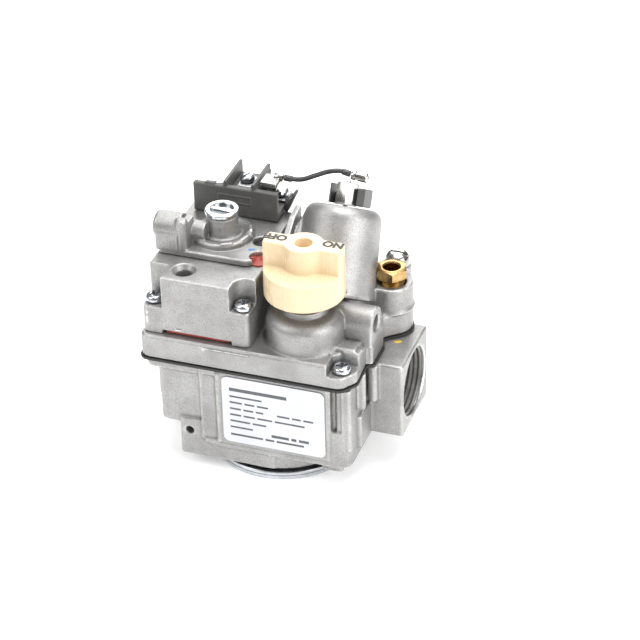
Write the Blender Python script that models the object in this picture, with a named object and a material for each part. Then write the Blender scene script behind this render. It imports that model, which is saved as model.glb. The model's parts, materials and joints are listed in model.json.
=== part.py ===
"""Combination gas valve with two pipe ports, a gas cock with a push-and-turn knob, a flame safety magnet,
a regulator, a low-voltage operator and a pilot outlet.

Sizes are in millimetres and become Blender's metres where a mesh is made. The origin is the centre of the
round bottom cover's lowest face, +Z is up, +X leaves through the inlet and -Y faces the label."""

import math

import bmesh
import bpy
from mathutils import Matrix, Vector

MM = 0.001

# Gaps and walls
gap = 0.3
running_gap = 0.4

# Pipe ports
port_face_x = 50.1
port_square = 31.75
port_y = 9.3
thread_radius = 13.4
thread_depth = 19.0

# Bottom cover and main diaphragm
cover_radius = 28.5
cover_height = 3.4
diaphragm_thickness = 0.8
skirt_radius = 27.6
chamber_radius = 22.5
chamber_height = 7.0

# Lower body
body_top = 46.5
body_floor = 11.7
body_right = 36.0
body_left = -41.2
body_back = 37.0
left_block_floor = 18.7
label_panel_y = -29.5
label_panel_x = (-16.2, 28.4)
label_size = (41.0, 29.4)
label_thickness = 0.25

# Upper body
gasket_thickness = 0.9
flange_thickness = 9.6
flange_front = -29.5
flange_back = 38.0
flange_left = -47.3
flange_right = 36.9
pilot_boss_xy = (37.5, 20.0)
pilot_boss_radius = 8.2
pilot_boss_height = 10.0
port_boss_height = 6.2
port_boss_radius = 6.4
port_boss_y = -5.0
port_boss_face = 39.5

# Gas cock and knob
knob_xy = (14.0, -12.0)
boss_radius = 15.0
boss_height = 12.4
knob_lift = 6.9
knob_radius = 15.4
knob_height = 21.7
ledge_height = 11.6
bulge_radius = 7.4
bar_half_width = 3.8
knob_hole_radius = 3.35
stem_radius = 3.0
press_travel = 3.5
plug_radius = 8.2

# Flame safety magnet, on an axis that leans back
lean = math.radians(32.0)
magnet_top = Vector((17.2, 26.0, 93.3))
housing_radius = 14.5
housing_length = 34.0
magnet_bore = 8.8
core_radius = 8.0
safety_travel = 3.0
nut_across = 7.6
nut_height = 9.0

# Operator and regulator
operator_left = -46.0
operator_right = -3.2
operator_front = -27.0
operator_back = 29.5
operator_height = 24.7
cover_left = -44.9
cover_right = -4.0
cover_back = 29.0
pit_places = ((-9.0, 5.0), (-6.4, -5.6))
pit_radius = 3.5
plate_front = -10.5
plate_thickness = 2.4
regulator_xy = (-24.7, 4.8)
disc_radius = 11.8
disc_height = 2.4
tower_radius = 6.1
tower_height = 7.3
cap_radius = 6.5
cap_height = 1.8
cap_recess = 4.4
regulator_bore = 4.3
coil_xy = (-23.0, 21.2)
vent_radius = 5.3
vent_y = -5.2
vent_x = (-47.4, -36.8)

# Terminal block
block_x = (-42.1, -7.8)
block_y = (19.0, 37.3)
block_height = 12.3
fin_height = 2.4
fin_places = (-29.6, -18.2)
fin_thickness = 1.3

# Main valve
valve_xy = (0.0, 2.0)
seat_z = 24.0
seat_radius = 9.0
well_radius = 13.0
valve_stem_radius = 2.0
valve_travel = 3.0

# Screws
shank_radius = 1.9
head_radius = 3.5
head_height = 2.4

# Heights that follow from the sizes above
diaphragm_low = cover_height + gap
skirt_low = diaphragm_low + diaphragm_thickness + gap
gasket_low = body_top + gap
flange_low = gasket_low + gasket_thickness + gap
flange_top = flange_low + flange_thickness
boss_top = flange_top + boss_height
knob_low = boss_top + knob_lift
knob_top = knob_low + knob_height
operator_low = flange_top + gap
operator_top = operator_low + operator_height
plate_low = operator_top + gap
plate_top = plate_low + plate_thickness
disc_top = plate_top + disc_height
tower_top = disc_top + tower_height
port_z = body_top - port_square / 2
block_top = plate_top + gap + block_height
lead_start = Vector((-8.2, 28.8, block_top + 2.1))


# Shapes, each a bmesh with its sizes in millimetres


def arc(centre, radius, start, end, steps):
    """Points on an arc, from one angle to another in degrees."""
    return [
        (
            centre[0] + radius * math.cos(math.radians(start + (end - start) * i / steps)),
            centre[1] + radius * math.sin(math.radians(start + (end - start) * i / steps)),
        )
        for i in range(steps + 1)
    ]


def rounded(corners, radius, steps=4):
    """An outline whose corners are arcs. A corner (x, y, r) has its own radius."""
    outline = []
    for i, corner in enumerate(corners):
        here = Vector(corner[:2])
        before = Vector(corners[i - 1][:2]) - here
        after = Vector(corners[(i + 1) % len(corners)][:2]) - here
        size = corner[2] if len(corner) == 3 else radius
        if size == 0:
            outline.append(tuple(here))
            continue
        half = before.angle(after) / 2
        reach = min(size / math.tan(half), 0.49 * before.length, 0.49 * after.length)
        size = reach * math.tan(half)
        centre = here + (before.normalized() + after.normalized()).normalized() * (size / math.sin(half))
        start = here + before.normalized() * reach - centre
        end = here + after.normalized() * reach - centre
        turn = math.atan2(start.x * end.y - start.y * end.x, start.dot(end))
        first = math.atan2(start.y, start.x)
        for step in range(steps + 1):
            angle = first + turn * step / steps
            outline.append((centre.x + size * math.cos(angle), centre.y + size * math.sin(angle)))
    return outline


def rectangle(low, high, radius=0.0, steps=4):
    corners = [(low[0], low[1]), (high[0], low[1]), (high[0], high[1]), (low[0], high[1])]
    return rounded(corners, radius, steps)


def prism(outline, low, high):
    """An outline in X and Y, extruded from one height to another."""
    shape = bmesh.new()
    face = shape.faces.new([shape.verts.new((x, y, low)) for x, y in outline])
    raised = bmesh.ops.extrude_face_region(shape, geom=[face])["geom"]
    top = [item for item in raised if isinstance(item, bmesh.types.BMVert)]
    bmesh.ops.translate(shape, verts=top, vec=(0, 0, high - low))
    bmesh.ops.recalc_face_normals(shape, faces=shape.faces)
    return shape


def block(low, high):
    return prism(rectangle(low, high), low[2], high[2])


def turned(profile, steps=24):
    """A profile of (radius, height) points, closed and turned about Z."""
    shape = bmesh.new()
    points = [shape.verts.new((radius, 0, height)) for radius, height in profile]
    edges = [shape.edges.new((points[i - 1], points[i])) for i in range(len(points))]
    on_axis = [edge for edge in edges if all(vert.co.x < 1e-6 for vert in edge.verts)]
    edges = [edge for edge in edges if edge not in on_axis]
    bmesh.ops.delete(shape, geom=on_axis, context="EDGES_FACES")
    bmesh.ops.spin(
        shape, geom=points + edges, cent=(0, 0, 0), axis=(0, 0, 1), angle=math.tau, steps=steps,
        use_merge=True,
    )
    bmesh.ops.remove_doubles(shape, verts=shape.verts, dist=1e-4)
    bmesh.ops.recalc_face_normals(shape, faces=shape.faces)
    return shape


def rod(radius, low, high, steps=20):
    return turned([(0, low), (radius, low), (radius, high), (0, high)], steps)


def tube(outer, inner, low, high, steps=20):
    return turned([(inner, low), (outer, low), (outer, high), (inner, high)], steps)


def hexagon(across, low, high, edge=0.6):
    """A hexagonal prism with chamfered corners at its top."""
    radius = across / math.sqrt(3)
    outline = [
        (radius * math.cos(math.radians(60 * i)), radius * math.sin(math.radians(60 * i))) for i in range(6)
    ]
    shape = prism(outline, low, high)
    top = [e for e in shape.edges if all(abs(v.co.z - high) < 1e-6 for v in e.verts)]
    bmesh.ops.bevel(shape, geom=top, offset=edge, segments=1, affect="EDGES")
    return shape


def eased(shape, width, segments=2, upper_only=False):
    """Bevels the sharp edges of a shape, or only those that border an upward face."""
    edges = [e for e in shape.edges if e.calc_face_angle(0) > math.radians(50)]
    if upper_only:
        edges = [e for e in edges if any(face.normal.z > 0.9 for face in e.link_faces)]
    bmesh.ops.bevel(shape, geom=edges, offset=width, segments=segments, affect="EDGES", clamp_overlap=True)
    return shape


def moved(shape, to=(0, 0, 0), turn=None):
    shape.transform(Matrix.Translation(to) @ (turn or Matrix.Identity(4)))
    return shape


to_x = Matrix.Rotation(math.radians(90), 4, "Y")
to_y = Matrix.Rotation(math.radians(-90), 4, "X")
leaning = Matrix.Rotation(-lean, 4, "X")
magnet_frame = Matrix.Translation(magnet_top) @ leaning


def leant(shape):
    """A shape made along the magnet's axis, whose zero is the housing's top face."""
    shape.transform(magnet_frame)
    return shape


# Objects


def finish(name, colour, roughness, metallic):
    material = bpy.data.materials.new(name)
    material.use_nodes = True
    shader = material.node_tree.nodes["Principled BSDF"]
    shader.inputs["Base Color"].default_value = (*colour, 1)
    shader.inputs["Roughness"].default_value = roughness
    shader.inputs["Metallic"].default_value = metallic
    material.diffuse_color = (*colour, 1)
    return material


def mesh_object(name, shape, origin):
    mesh = bpy.data.meshes.new(name)
    shape.transform(Matrix.Scale(MM, 4))
    shape.to_mesh(mesh)
    shape.free()
    piece = bpy.data.objects.new(name, mesh)
    piece.location = Vector(origin) * MM
    bpy.context.scene.collection.objects.link(piece)
    return piece


def piece(
    name, material, shape, origin=(0, 0, 0), add=(), cut=(), parent=None, turn=None, solver="EXACT"
):
    """A sub-part at its origin. Shapes in add are joined to it, then shapes in cut are cut out of it.

    The castings with many grazing faces take the MANIFOLD solver, as EXACT leaves open edges on them."""
    made = mesh_object(name, shape, origin)
    for operation, tools in (("UNION", add), ("DIFFERENCE", cut)):
        for number, tool_shape in enumerate(tools):
            tool = mesh_object(f"{name}.{operation.lower()}.{number}", tool_shape, (0, 0, 0))
            tool.hide_render = True
            tool.display_type = "WIRE"
            tool.parent = made
            change = made.modifiers.new(f"{operation.title()} {number}", "BOOLEAN")
            change.operation = operation
            change.solver = solver
            change.object = tool
    if add or cut:
        tidy = made.modifiers.new("Merge flat faces", "DECIMATE")
        tidy.decimate_type = "DISSOLVE"
        tidy.angle_limit = math.radians(0.5)
    if turn is not None:
        made.rotation_euler = turn.to_euler()
    made.data.materials.append(material)
    made.data.shade_smooth()
    made.data.set_sharp_from_angle(angle=math.radians(35))
    if parent is not None:
        made.parent = parent
        made.location -= parent.location
    return made


def joint_empty(name, origin):
    """An empty on a joint's axis, which carries the pieces that move together."""
    empty = bpy.data.objects.new(name, None)
    empty.location = Vector(origin) * MM
    bpy.context.scene.collection.objects.link(empty)
    return empty


def wire_object(name, material, points, radius, rounds=2):
    """A tube along a smooth run of points in millimetres."""
    curve = bpy.data.curves.new(name, "CURVE")
    curve.dimensions = "3D"
    curve.bevel_depth = radius * MM
    curve.bevel_resolution = rounds
    curve.use_fill_caps = True
    spline = curve.splines.new("POLY")
    spline.points.add(len(points) - 1)
    for target, point in zip(spline.points, points):
        target.co = (*(Vector(point) * MM), 1)
    made = bpy.data.objects.new(name, curve)
    bpy.context.scene.collection.objects.link(made)
    curve.materials.append(material)
    return made


def coil_spring(name, material, radius, wire, low, high, turns, frame=None, parent=None):
    """A compression spring about Z, or about the Z of a frame, with close end turns."""
    per_turn = 6
    count = int(turns * per_turn)
    points = []
    for i in range(count + 1):
        share = i / count
        eased_share = share * share * (3 - 2 * share)
        angle = math.tau * turns * share
        height = low + wire + (high - low - 2 * wire) * (0.35 * share + 0.65 * eased_share)
        point = Vector((radius * math.cos(angle), radius * math.sin(angle), height))
        points.append(frame @ point if frame else point)
    made = wire_object(name, material, points, wire, rounds=0)
    if parent is not None:
        made.parent = parent
        made.location = -parent.location
    return made


def smooth_run(route, step):
    """Points a step apart along a Catmull-Rom curve through the points of a route."""
    ends = [route[0] * 2 - route[1], *route, route[-1] * 2 - route[-2]]
    dense = []
    for a, b, c, d in zip(ends, ends[1:], ends[2:], ends[3:]):
        for i in range(24):
            t = i / 24
            dense.append(
                0.5 * (
                    2 * b + (c - a) * t + (2 * a - 5 * b + 4 * c - d) * t**2 + (
                        3 * b - a - 3 * c + d
                    ) * t**3
                )
            )
    dense.append(route[-1])
    run = [dense[0]]
    for point in dense[1:]:
        if (point - run[-1]).length >= step:
            run.append(point)
    if (dense[-1] - run[-1]).length > 0.3 * step:
        run.append(dense[-1])
    return run


def pan_screw(name, material, at, length, radius=head_radius, slot_only=False):
    """A pan head screw whose head rests at a point, with its shank down."""
    crown = rounded([(0, head_height, 0), (radius, head_height, 1.6), (radius, 0, 0), (0, 0, 0)], 0, 3)
    profile = crown[:-1] + [
        (shank_radius, 0), (shank_radius, 0.8 - length), (shank_radius - 0.7, -length), (0, -length)
    ]
    deep = head_height * 0.55
    slots = [block((-radius * 0.62, -0.45, head_height - deep), (radius * 0.62, 0.45, head_height + 1))]
    if not slot_only:
        slots.append(
            block((-0.45, -radius * 0.62, head_height - deep), (0.45, radius * 0.62, head_height + 1))
        )
    return piece(name, material, turned(profile, 10), at, cut=slots)


def hole(radius, at, low, high, steps=12):
    return moved(rod(radius, low, high, steps), (at[0], at[1], 0))


# Places that several pieces share

operator_screws = {
    "front_left": (-42.6, -21.9, operator_top - 13.4),
    "front_right": (-6.6, -22.6, operator_top - 10.2),
    "rear_left": (-42.6, 24.8, operator_top - 13.4),
    "rear_right": (-6.6, 25.4, operator_top - 10.2),
}
body_screws = {
    "front_right": (32.0, -23.6, flange_top - 5.0),
    "rear_right": (29.5, 33.4, flange_top - 5.0),
    "rear_left": (-36.0, 33.9, flange_top - 5.0),
    "front_left": operator_screws["front_left"],
}
pivot_yz = (-4.5, flange_low + 5.0)
pin_x = (5.0, 29.0)
pin_radius = 1.0
cavity_x = (7.0, 27.0)
cavity_y = (-22.0, 10.0)
cavity_top = flange_low + 9.6
stem_low = flange_low + 6.3
pilot_screw_xy = (36.0, 31.8)


def flange_outline(grow=0.0):
    """The joint between the two castings, seen from above."""
    left, right = flange_left - grow, flange_right + grow
    front, back = flange_front - grow, flange_back + grow
    boss_x, boss_y = pilot_boss_xy
    boss = arc((boss_x, boss_y), pilot_boss_radius + grow, -60, 100, 10)
    outline = [(left, front, 4), (right - 3.4, front, 4), (right + 0.7, -23.0, 3), (right, -10.0, 1)]
    outline += [(right + 2.5, -9.6, 1), (right + 2.3, 4.0, 1), (right + 0.4, 9.0, 2)]
    outline = rounded(outline + [(boss[0][0], boss[0][1], 0), (left, back, 0)], 0)[:-2]
    rear = rounded(
        [(boss[-1][0], boss[-1][1], 0), (right - 2.4, back, 4), (left, back, 4), (left, front, 0)], 0
    )[1:-1]
    return outline + boss + rear


def lower_body(material):
    floor = body_floor
    core = prism(rectangle((-23.0, -28.9), (body_right, body_back), 4.0), floor, body_top)
    left_block = prism(
        rectangle((body_left, -27.0), (-15.0, body_back - 3), 3.0), left_block_floor, body_top
    )
    lip = prism(rectangle((flange_left + 1.6, -28.2), (-14.0, body_back), 3.5), body_top - 3.6, body_top)
    rib = prism(rectangle((-22.4, -29.3), (-16.0, -20.0), 0.8), floor + 1.2, body_top)
    panel = prism(
        rectangle((label_panel_x[0], label_panel_y), (label_panel_x[1], -20.0), 0.6), 14.3, body_top
    )
    skirt = rod(skirt_radius, skirt_low, floor + 4, 32)
    step = prism(rectangle((-33.0, -28.2), (6.0, 20.0), 1.5), skirt_low + 0.2, left_block_floor + 3)
    half = port_square / 2
    inlet = eased(
        block((body_right - 6, port_y - half, port_z - half), (port_face_x, port_y + half, body_top)),
        0.6,
        1,
    )
    outlet = eased(
        block((-port_face_x, port_y - half, port_z - half), (body_left + 4, port_y + half, body_top)),
        0.6,
        1,
    )
    threads = []
    for side in (1, -1):
        mouth = [(0, 1), (thread_radius + 0.9, 1), (thread_radius + 0.9, 0), (thread_radius, -1.2)]
        taper = [(thread_radius - thread_depth / 32, -thread_depth), (thread_radius - 4, -thread_depth - 2)]
        profile = mouth + taper + [(0, -thread_depth - 2)]
        turn = to_x if side > 0 else Matrix.Rotation(math.radians(-90), 4, "Y")
        threads.append(moved(turned(profile, 28), (side * port_face_x, port_y, port_z), turn))
    x, y = valve_xy
    guide_low = skirt_low + chamber_height
    cuts = threads + [
        moved(rod(9.0, 8.0, port_face_x - thread_depth, 24), (0, port_y, port_z), to_x),
        hole(well_radius, (x, y), seat_z, body_top + 1, 28),
        hole(seat_radius, (x, y), seat_z - 3, seat_z + 1, 24),
        hole(well_radius - 1, (x, y), guide_low + 2, seat_z - 2, 28),
        block((-34.0, port_y - 7, guide_low + 3), (x - 4, port_y + 7, seat_z - 2.6)),
        hole(valve_stem_radius + running_gap, (x, y), guide_low - 1, guide_low + 3),
        hole(chamber_radius, (0, 0), skirt_low - 1, guide_low, 32),
        hole(4.0, (26.0, 9.0), port_z, body_top + 1),
        moved(rod(1.7, -3, 6, 12), (-28.8, -28.2, 16.2), to_y),
    ]
    # Open flutes that the casting die leaves between the screw columns on the right
    cuts.append(prism(rectangle((28.9, -32.0), (33.2, -26.4), 1.6), 27.4, body_top + 1))
    cuts.append(prism(rectangle((33.4, -20.6), (40.0, -17.0), 0.8), 32.5, body_top + 1))
    for name in ("front_right", "rear_right", "rear_left", "front_left"):
        at = body_screws[name]
        cuts.append(hole(shank_radius + gap, at, -1, body_top + 1))
    return piece(
        "lower_body", material, core,
        add=[left_block, lip, rib, panel, skirt, step, inlet, outlet], cut=cuts,
    )


def body_gasket(material):
    cuts = [hole(well_radius, valve_xy, gasket_low - 1, flange_low, 28)]
    cuts.append(block((cavity_x[0], cavity_y[0], gasket_low - 1), (cavity_x[1], cavity_y[1], flange_low)))
    cuts += [hole(shank_radius + gap, at, gasket_low - 1, flange_low, 12) for at in body_screws.values()]
    sheet = prism(flange_outline(0.5), gasket_low, gasket_low + gasket_thickness)
    return piece("body_gasket", material, sheet, cut=cuts)


def upper_body(material):
    x, y = knob_xy
    plate = eased(prism(flange_outline(), flange_low, flange_top), 0.8, 2, upper_only=True)
    shoulder = rounded(
        [
            (0, boss_top, 0), (boss_radius, boss_top, 4.5), (boss_radius, flange_top - 1, 0),
            (0, flange_top - 1, 0),
        ],
        0,
        4,
    )
    boss = moved(turned(shoulder, 28), (x, y, 0))
    neck = moved(rod(8.4, boss_top - 1, boss_top + 2.2, 24), (x, y, 0))
    housing_profile = rounded(
        [
            (0, 0, 0),
            (housing_radius, 0, 4.2),
            (housing_radius + 1.8, -housing_length, 0),
            (0, -housing_length, 0),
        ], 0, 4
    )
    housing = leant(turned(housing_profile, 28))
    saddle = eased(
        prism(rectangle((4.0, 0.0), (30.4, 26.0), 4.0), flange_top - 1, flange_top + 15.5), 1.5, 2, True
    )
    pilot_top = flange_top + pilot_boss_height
    pilot_boss = moved(rod(pilot_boss_radius, flange_low, pilot_top, 28), (*pilot_boss_xy, 0))
    web = prism(
        [(21.0, 11.6), (36.0, 11.9), (41.0, 20.0), (37.0, 28.0), (21.0, 24.0)], flange_top - 1, pilot_top
    )
    port_z_here = flange_top + port_boss_height
    port_boss = moved(rod(port_boss_radius, 14.0, port_boss_face, 24), (0, port_boss_y, port_z_here), to_x)
    port_foot = prism(
        rectangle(
            (16.0, port_boss_y - port_boss_radius), (port_boss_face, port_boss_y + port_boss_radius), 0.6
        ),
        flange_top - 1,
        port_z_here,
    )
    pad = eased(
        prism(
            [(21.0, -18.9), (35.8, -18.9), (35.8, -11.8), (24.0, -11.8)], flange_top - 1, flange_top + 1.6
        ),
        0.5,
        1,
        True,
    )
    sideways = Matrix(((0, 0, 1, 0), (1, 0, 0, 0), (0, 1, 0, 0), (0, 0, 0, 1)))
    ribs = [
        moved(
            prism([(6.5, 0), (24.4, 0), (24.4, 35.5), (16.6, 34.0), (6.5, 26.8)], 0, 2.4),
            (foot, 0, flange_top - 1.2),
            sideways,
        )
        for foot in (-2.3, 2.4)
    ]
    bridge = moved(
        prism([(7.5, 0), (23.8, 0), (23.8, 30.0), (16.6, 30.0), (7.5, 23.5)], -1.5, 9.0),
        (0, 0, flange_top - 0.8),
        sideways,
    )
    screw_boss = hole(5.4, pilot_screw_xy, flange_top - 6.0, pilot_top, 20)
    cavity = block((cavity_x[0], cavity_y[0], flange_low - 1), (cavity_x[1], cavity_y[1], cavity_top))
    cuts = [
        cavity,
        moved(rod(plug_radius + running_gap, cavity_top - 1, boss_top - 5.0, 28), (x, y, 0)),
        moved(rod(stem_radius + 1.9, boss_top - 6, boss_top + 3, 24), (x, y, 0)),
        leant(rod(magnet_bore, -26.0, -3.0, 28)),
        leant(rod(magnet_bore - 2.6, -46.0, -25.0, 24)),
        leant(rod(3.4, -4, 1, 16)),
        moved(rod(pin_radius + gap, *pin_x, 12), (0, *pivot_yz), to_x),
        hole(3.0, (25.5, 7.5), flange_low - 1, flange_low + 16),
        moved(rod(3.5, port_boss_face - 12, port_boss_face + 1, 16), (0, port_boss_y, port_z_here), to_x),
        hole(5.6, pilot_boss_xy, pilot_top - 7.5, pilot_top + 1, 24),
        hole(2.0, pilot_boss_xy, pilot_top - 16, pilot_top - 7, 12),
        hole(2.6, pilot_screw_xy, pilot_top - 9, pilot_top + 1, 16),
        hole(7.0, pilot_boss_xy, pilot_top, pilot_top + 30, 24),
        hole(5.0, pilot_screw_xy, pilot_top, pilot_top + 30, 24),
        hole(knob_radius + 0.8, knob_xy, knob_low - press_travel - 0.7, knob_top + 9, 40),
    ]
    corner = prism(
        [(27.8, -32.0), (40.0, -32.0), (40.0, -19.4), (30.4, -19.4), (27.8, -22.0)],
        body_screws["front_right"][2],
        flange_top + 4,
    )
    cuts.append(corner)
    for name, at in body_screws.items():
        cuts.append(hole(shank_radius + gap, at, flange_low - 1, flange_top + 2, 12))
        if name.startswith("rear"):
            cuts.append(hole(head_radius + 1, at, at[2], flange_top + 30, 16))
    cuts += [
        hole(shank_radius + gap, at, flange_top - 7.6, flange_top + 1, 12)
        for name, at in operator_screws.items()
        if name != "front_left"
    ]
    adds = [
        boss, neck, housing, saddle, pilot_boss, screw_boss, web, port_boss, port_foot, pad, bridge
    ] + ribs
    return piece("upper_body", material, plate, add=adds, cut=cuts, solver="MANIFOLD")


def operator_housing(material):
    block_body = eased(
        prism(
            rectangle((operator_left, operator_front), (operator_right, operator_back), 2.0),
            operator_low,
            operator_top,
        ),
        0.5, 1, upper_only=True,
    )
    gasket_slot = block(
        (-38.2, operator_front - 1, operator_low - 1), (-10.4, operator_front + 8, operator_low + 1.7)
    )
    cuts = [
        gasket_slot,
        prism(rectangle((-38.0, -20.0), (-10.0, 24.0), 0.6, 1), operator_low - 1, operator_low + 1.7),
        hole(9.2, regulator_xy, operator_top - 15, operator_top + 1, 24),
        block((-36.0, 15.3, operator_low + 6), (-10.0, 27.2, operator_top + 1)),
        hole(2.2, (-23.0, 9.0), operator_low - 1, operator_low + 10),
        hole(3.2, (-31.4, -19.0), operator_top - 9, operator_top + 1),
        moved(turned([(0, 1), (5.35, 1), (3.2, -2.0), (0, -2.0)], 24), (-31.4, -19.0, operator_top)),
    ]
    for name, (x, y, seat) in operator_screws.items():
        cuts.append(hole(shank_radius + gap, (x, y), operator_low - 1, seat + 1, 12))
        if name.endswith("left"):
            reach = 4.4 if y < 0 else -4.4
            corner = rectangle(
                (operator_left - 5, min(y + reach, y - 9 * reach)),
                (x + 4.6, max(y + reach, y - 9 * reach)),
                0,
            )
            cuts.append(prism(corner, seat, operator_top + 4))
        else:
            side = 1 if y < 0 else -1
            notch = arc((x + 0.6, y), 4.6, 180, 90, 6) + [
                (operator_right + 4, y + 4.6), (operator_right + 4, y - 9), (x - 4.0, y - 9)
            ]
            cuts.append(prism([(px, y + side * (py - y)) for px, py in notch], seat, operator_top + 4))
    return piece("operator_housing", material, block_body, cut=cuts, solver="MANIFOLD")


def operator_gasket(material):
    low = operator_low + gap
    sheet = prism(rectangle((-37.4, -25.9), (-10.9, 23.0), 0.9, 1), low, low + 1.0)
    return piece(
        "operator_gasket",
        material,
        sheet,
        cut=[prism(rectangle((-35.0, -17.0), (-13.0, 21.0), 2.0), low - 1, low + 3)],
    )


def regulator_cover(material):
    x, y = regulator_xy
    front_corners = [(cover_left, plate_front), (-9.8, plate_front), (cover_right, -6.5)]
    back_corners = [(cover_right, cover_back), (cover_left, cover_back)]
    plate = prism(rounded(front_corners + back_corners, 1.5), plate_low, plate_top)
    plate = eased(plate, 0.5, 1, upper_only=True)
    high = tower_top
    rim = [(disc_radius, disc_top - 0.8), (disc_radius - 0.8, disc_top), (disc_radius - 2.2, disc_top)]
    dish = [(7.6, disc_top - 1.0), (tower_radius, disc_top - 0.2), (tower_radius, high), (0, high)]
    profile = [(0, plate_top - 1), (disc_radius, plate_top - 1)] + rim + dish
    tower = moved(turned(profile, 28), (x, y, 0))
    vent_z = plate_top + 7.2
    outer, inner = vent_x
    barrel = [(0, outer, 0), (vent_radius, outer, 1.4), (vent_radius, inner, 0), (0, inner, 0)]
    vent = moved(turned(rounded(barrel, 0)), (0, vent_y, vent_z), to_x)
    foot = block(
        (vent_x[0] + 1.2, vent_y - vent_radius + 0.15, plate_top - 1.3),
        (vent_x[1] - 0.4, vent_y + vent_radius - 0.15, vent_z),
    )
    post = rounded([(0, 0, 0), (2.4, 0, 0), (2.4, 13.2, 1.2), (0, 13.2, 0)], 0)
    lug = moved(turned(post, 12), (-36.0, vent_y - 3.0, plate_top - 0.9))
    lug_web = block((-38.9, vent_y - 3.1, plate_top - 1.1), (-33.7, vent_y + 3.7, plate_top + 10.4))
    neck_y = vent_y + 4.0
    neck = moved(rod(3.7, -36.0, x - 4, 16), (0, neck_y, plate_top + 4.6), to_x)
    neck_foot = block((-35.0, neck_y - 3.2, plate_top - 0.7), (x - 6, neck_y + 3.2, plate_top + 4.3))
    cuts = [
        moved(rod(regulator_bore, disc_top - 1.0, high + 1, 20), (x, y, 0)),
        moved(rod(9.0, plate_low - 1, plate_top + 0.4, 24), (x, y, 0)),
        moved(rod(3.6, plate_low, disc_top + 2, 16), (x, y, 0)),
        moved(rod(1.4, vent_x[0] - 1, -36.0, 12), (0, vent_y, vent_z), to_x),
        moved(rod(1.4, plate_low - 1, vent_z, 12), (-43.0, vent_y + 2.5, 0)),
    ]
    for at in pit_places:
        cuts.append(hole(pit_radius, at, plate_low - 1, plate_top + 1, 16))
    adds = [tower, vent, foot, lug, lug_web, neck, neck_foot]
    return piece("regulator_cover", material, plate, add=adds, cut=cuts, solver="MANIFOLD")


def regulator_parts(zinc, plastic, rubber, steel):
    x, y = regulator_xy
    cap_low = tower_top + gap
    cap_top = cap_low + cap_height
    recess_low = cap_top - 1.2
    edge = cap_radius - 0.4
    rim = [(0, cap_low), (edge, cap_low), (cap_radius, cap_low + 0.5), (cap_radius, cap_top - 0.4)]
    rim += [(edge, cap_top), (cap_recess, cap_top), (cap_recess, recess_low), (0, recess_low)]
    grip = block((-4.8, -0.9, cap_low + 0.3), (4.8, 0.9, cap_top - 0.1))
    grip.transform(Matrix.Rotation(math.radians(-4), 4, "Z"))
    plug = moved(rod(regulator_bore - running_gap, cap_low - 2.4, cap_low + 0.5, 16))
    piece("regulator_cap", zinc, turned(rim), (x, y, 0), add=[plug, grip])
    spin = joint_empty("regulator_adjuster_axis", (x, y, tower_top - 4))
    screw_slot = block((-3, -0.5, tower_top - 4.2), (3, 0.5, tower_top - 2))
    adjuster = rod(regulator_bore - running_gap, tower_top - 6.6, tower_top - 3.1, 16)
    piece("regulator_adjuster", plastic, adjuster, (x, y, 0), cut=[screw_slot], parent=spin)
    coil_spring(
        "regulator_spring", steel, 2.5, 0.35, operator_top - 1.0, tower_top - 6.9, 4,
        Matrix.Translation((x, y, 0)),
    )
    low = operator_top - 3.4
    film = [
        (0, low), (8.8, low), (8.8, low + 0.8), (7.4, low + 0.8), (6.6, low + 1.6),
        (5.8, low + 0.8), (0, low + 0.8),
    ]
    piece("regulator_diaphragm", rubber, turned(film, 20), (x, y, 0))
    piece("regulator_plate", steel, rod(4.6, low + 1.1, low + 2.0, 16), (x, y, 0))


def operator_parts(winding, steel):
    x, y = coil_xy
    low = operator_low + 6 + gap
    bobbin = [
        (2.6, low), (5.6, low), (5.6, low + 1), (5.0, low + 1), (5.0, low + 11), (5.6, low + 11),
        (5.6, low + 12), (2.6, low + 12),
    ]
    piece("operator_coil", winding, turned(bobbin, 20), (x, y, 0))
    piece("operator_core", steel, rod(2.3, low, low + 13.0, 14), (x, y, 0))
    hinge = joint_empty("operator_armature_axis", (-12.4, y, low + 14.6))
    armature = eased(block((-13.0, -3.4, -0.6), (1.6, 3.4, 0.6)), 0.2, 1)
    piece("operator_armature", steel, armature, (-12.4, y, low + 14.6), parent=hinge)


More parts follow.
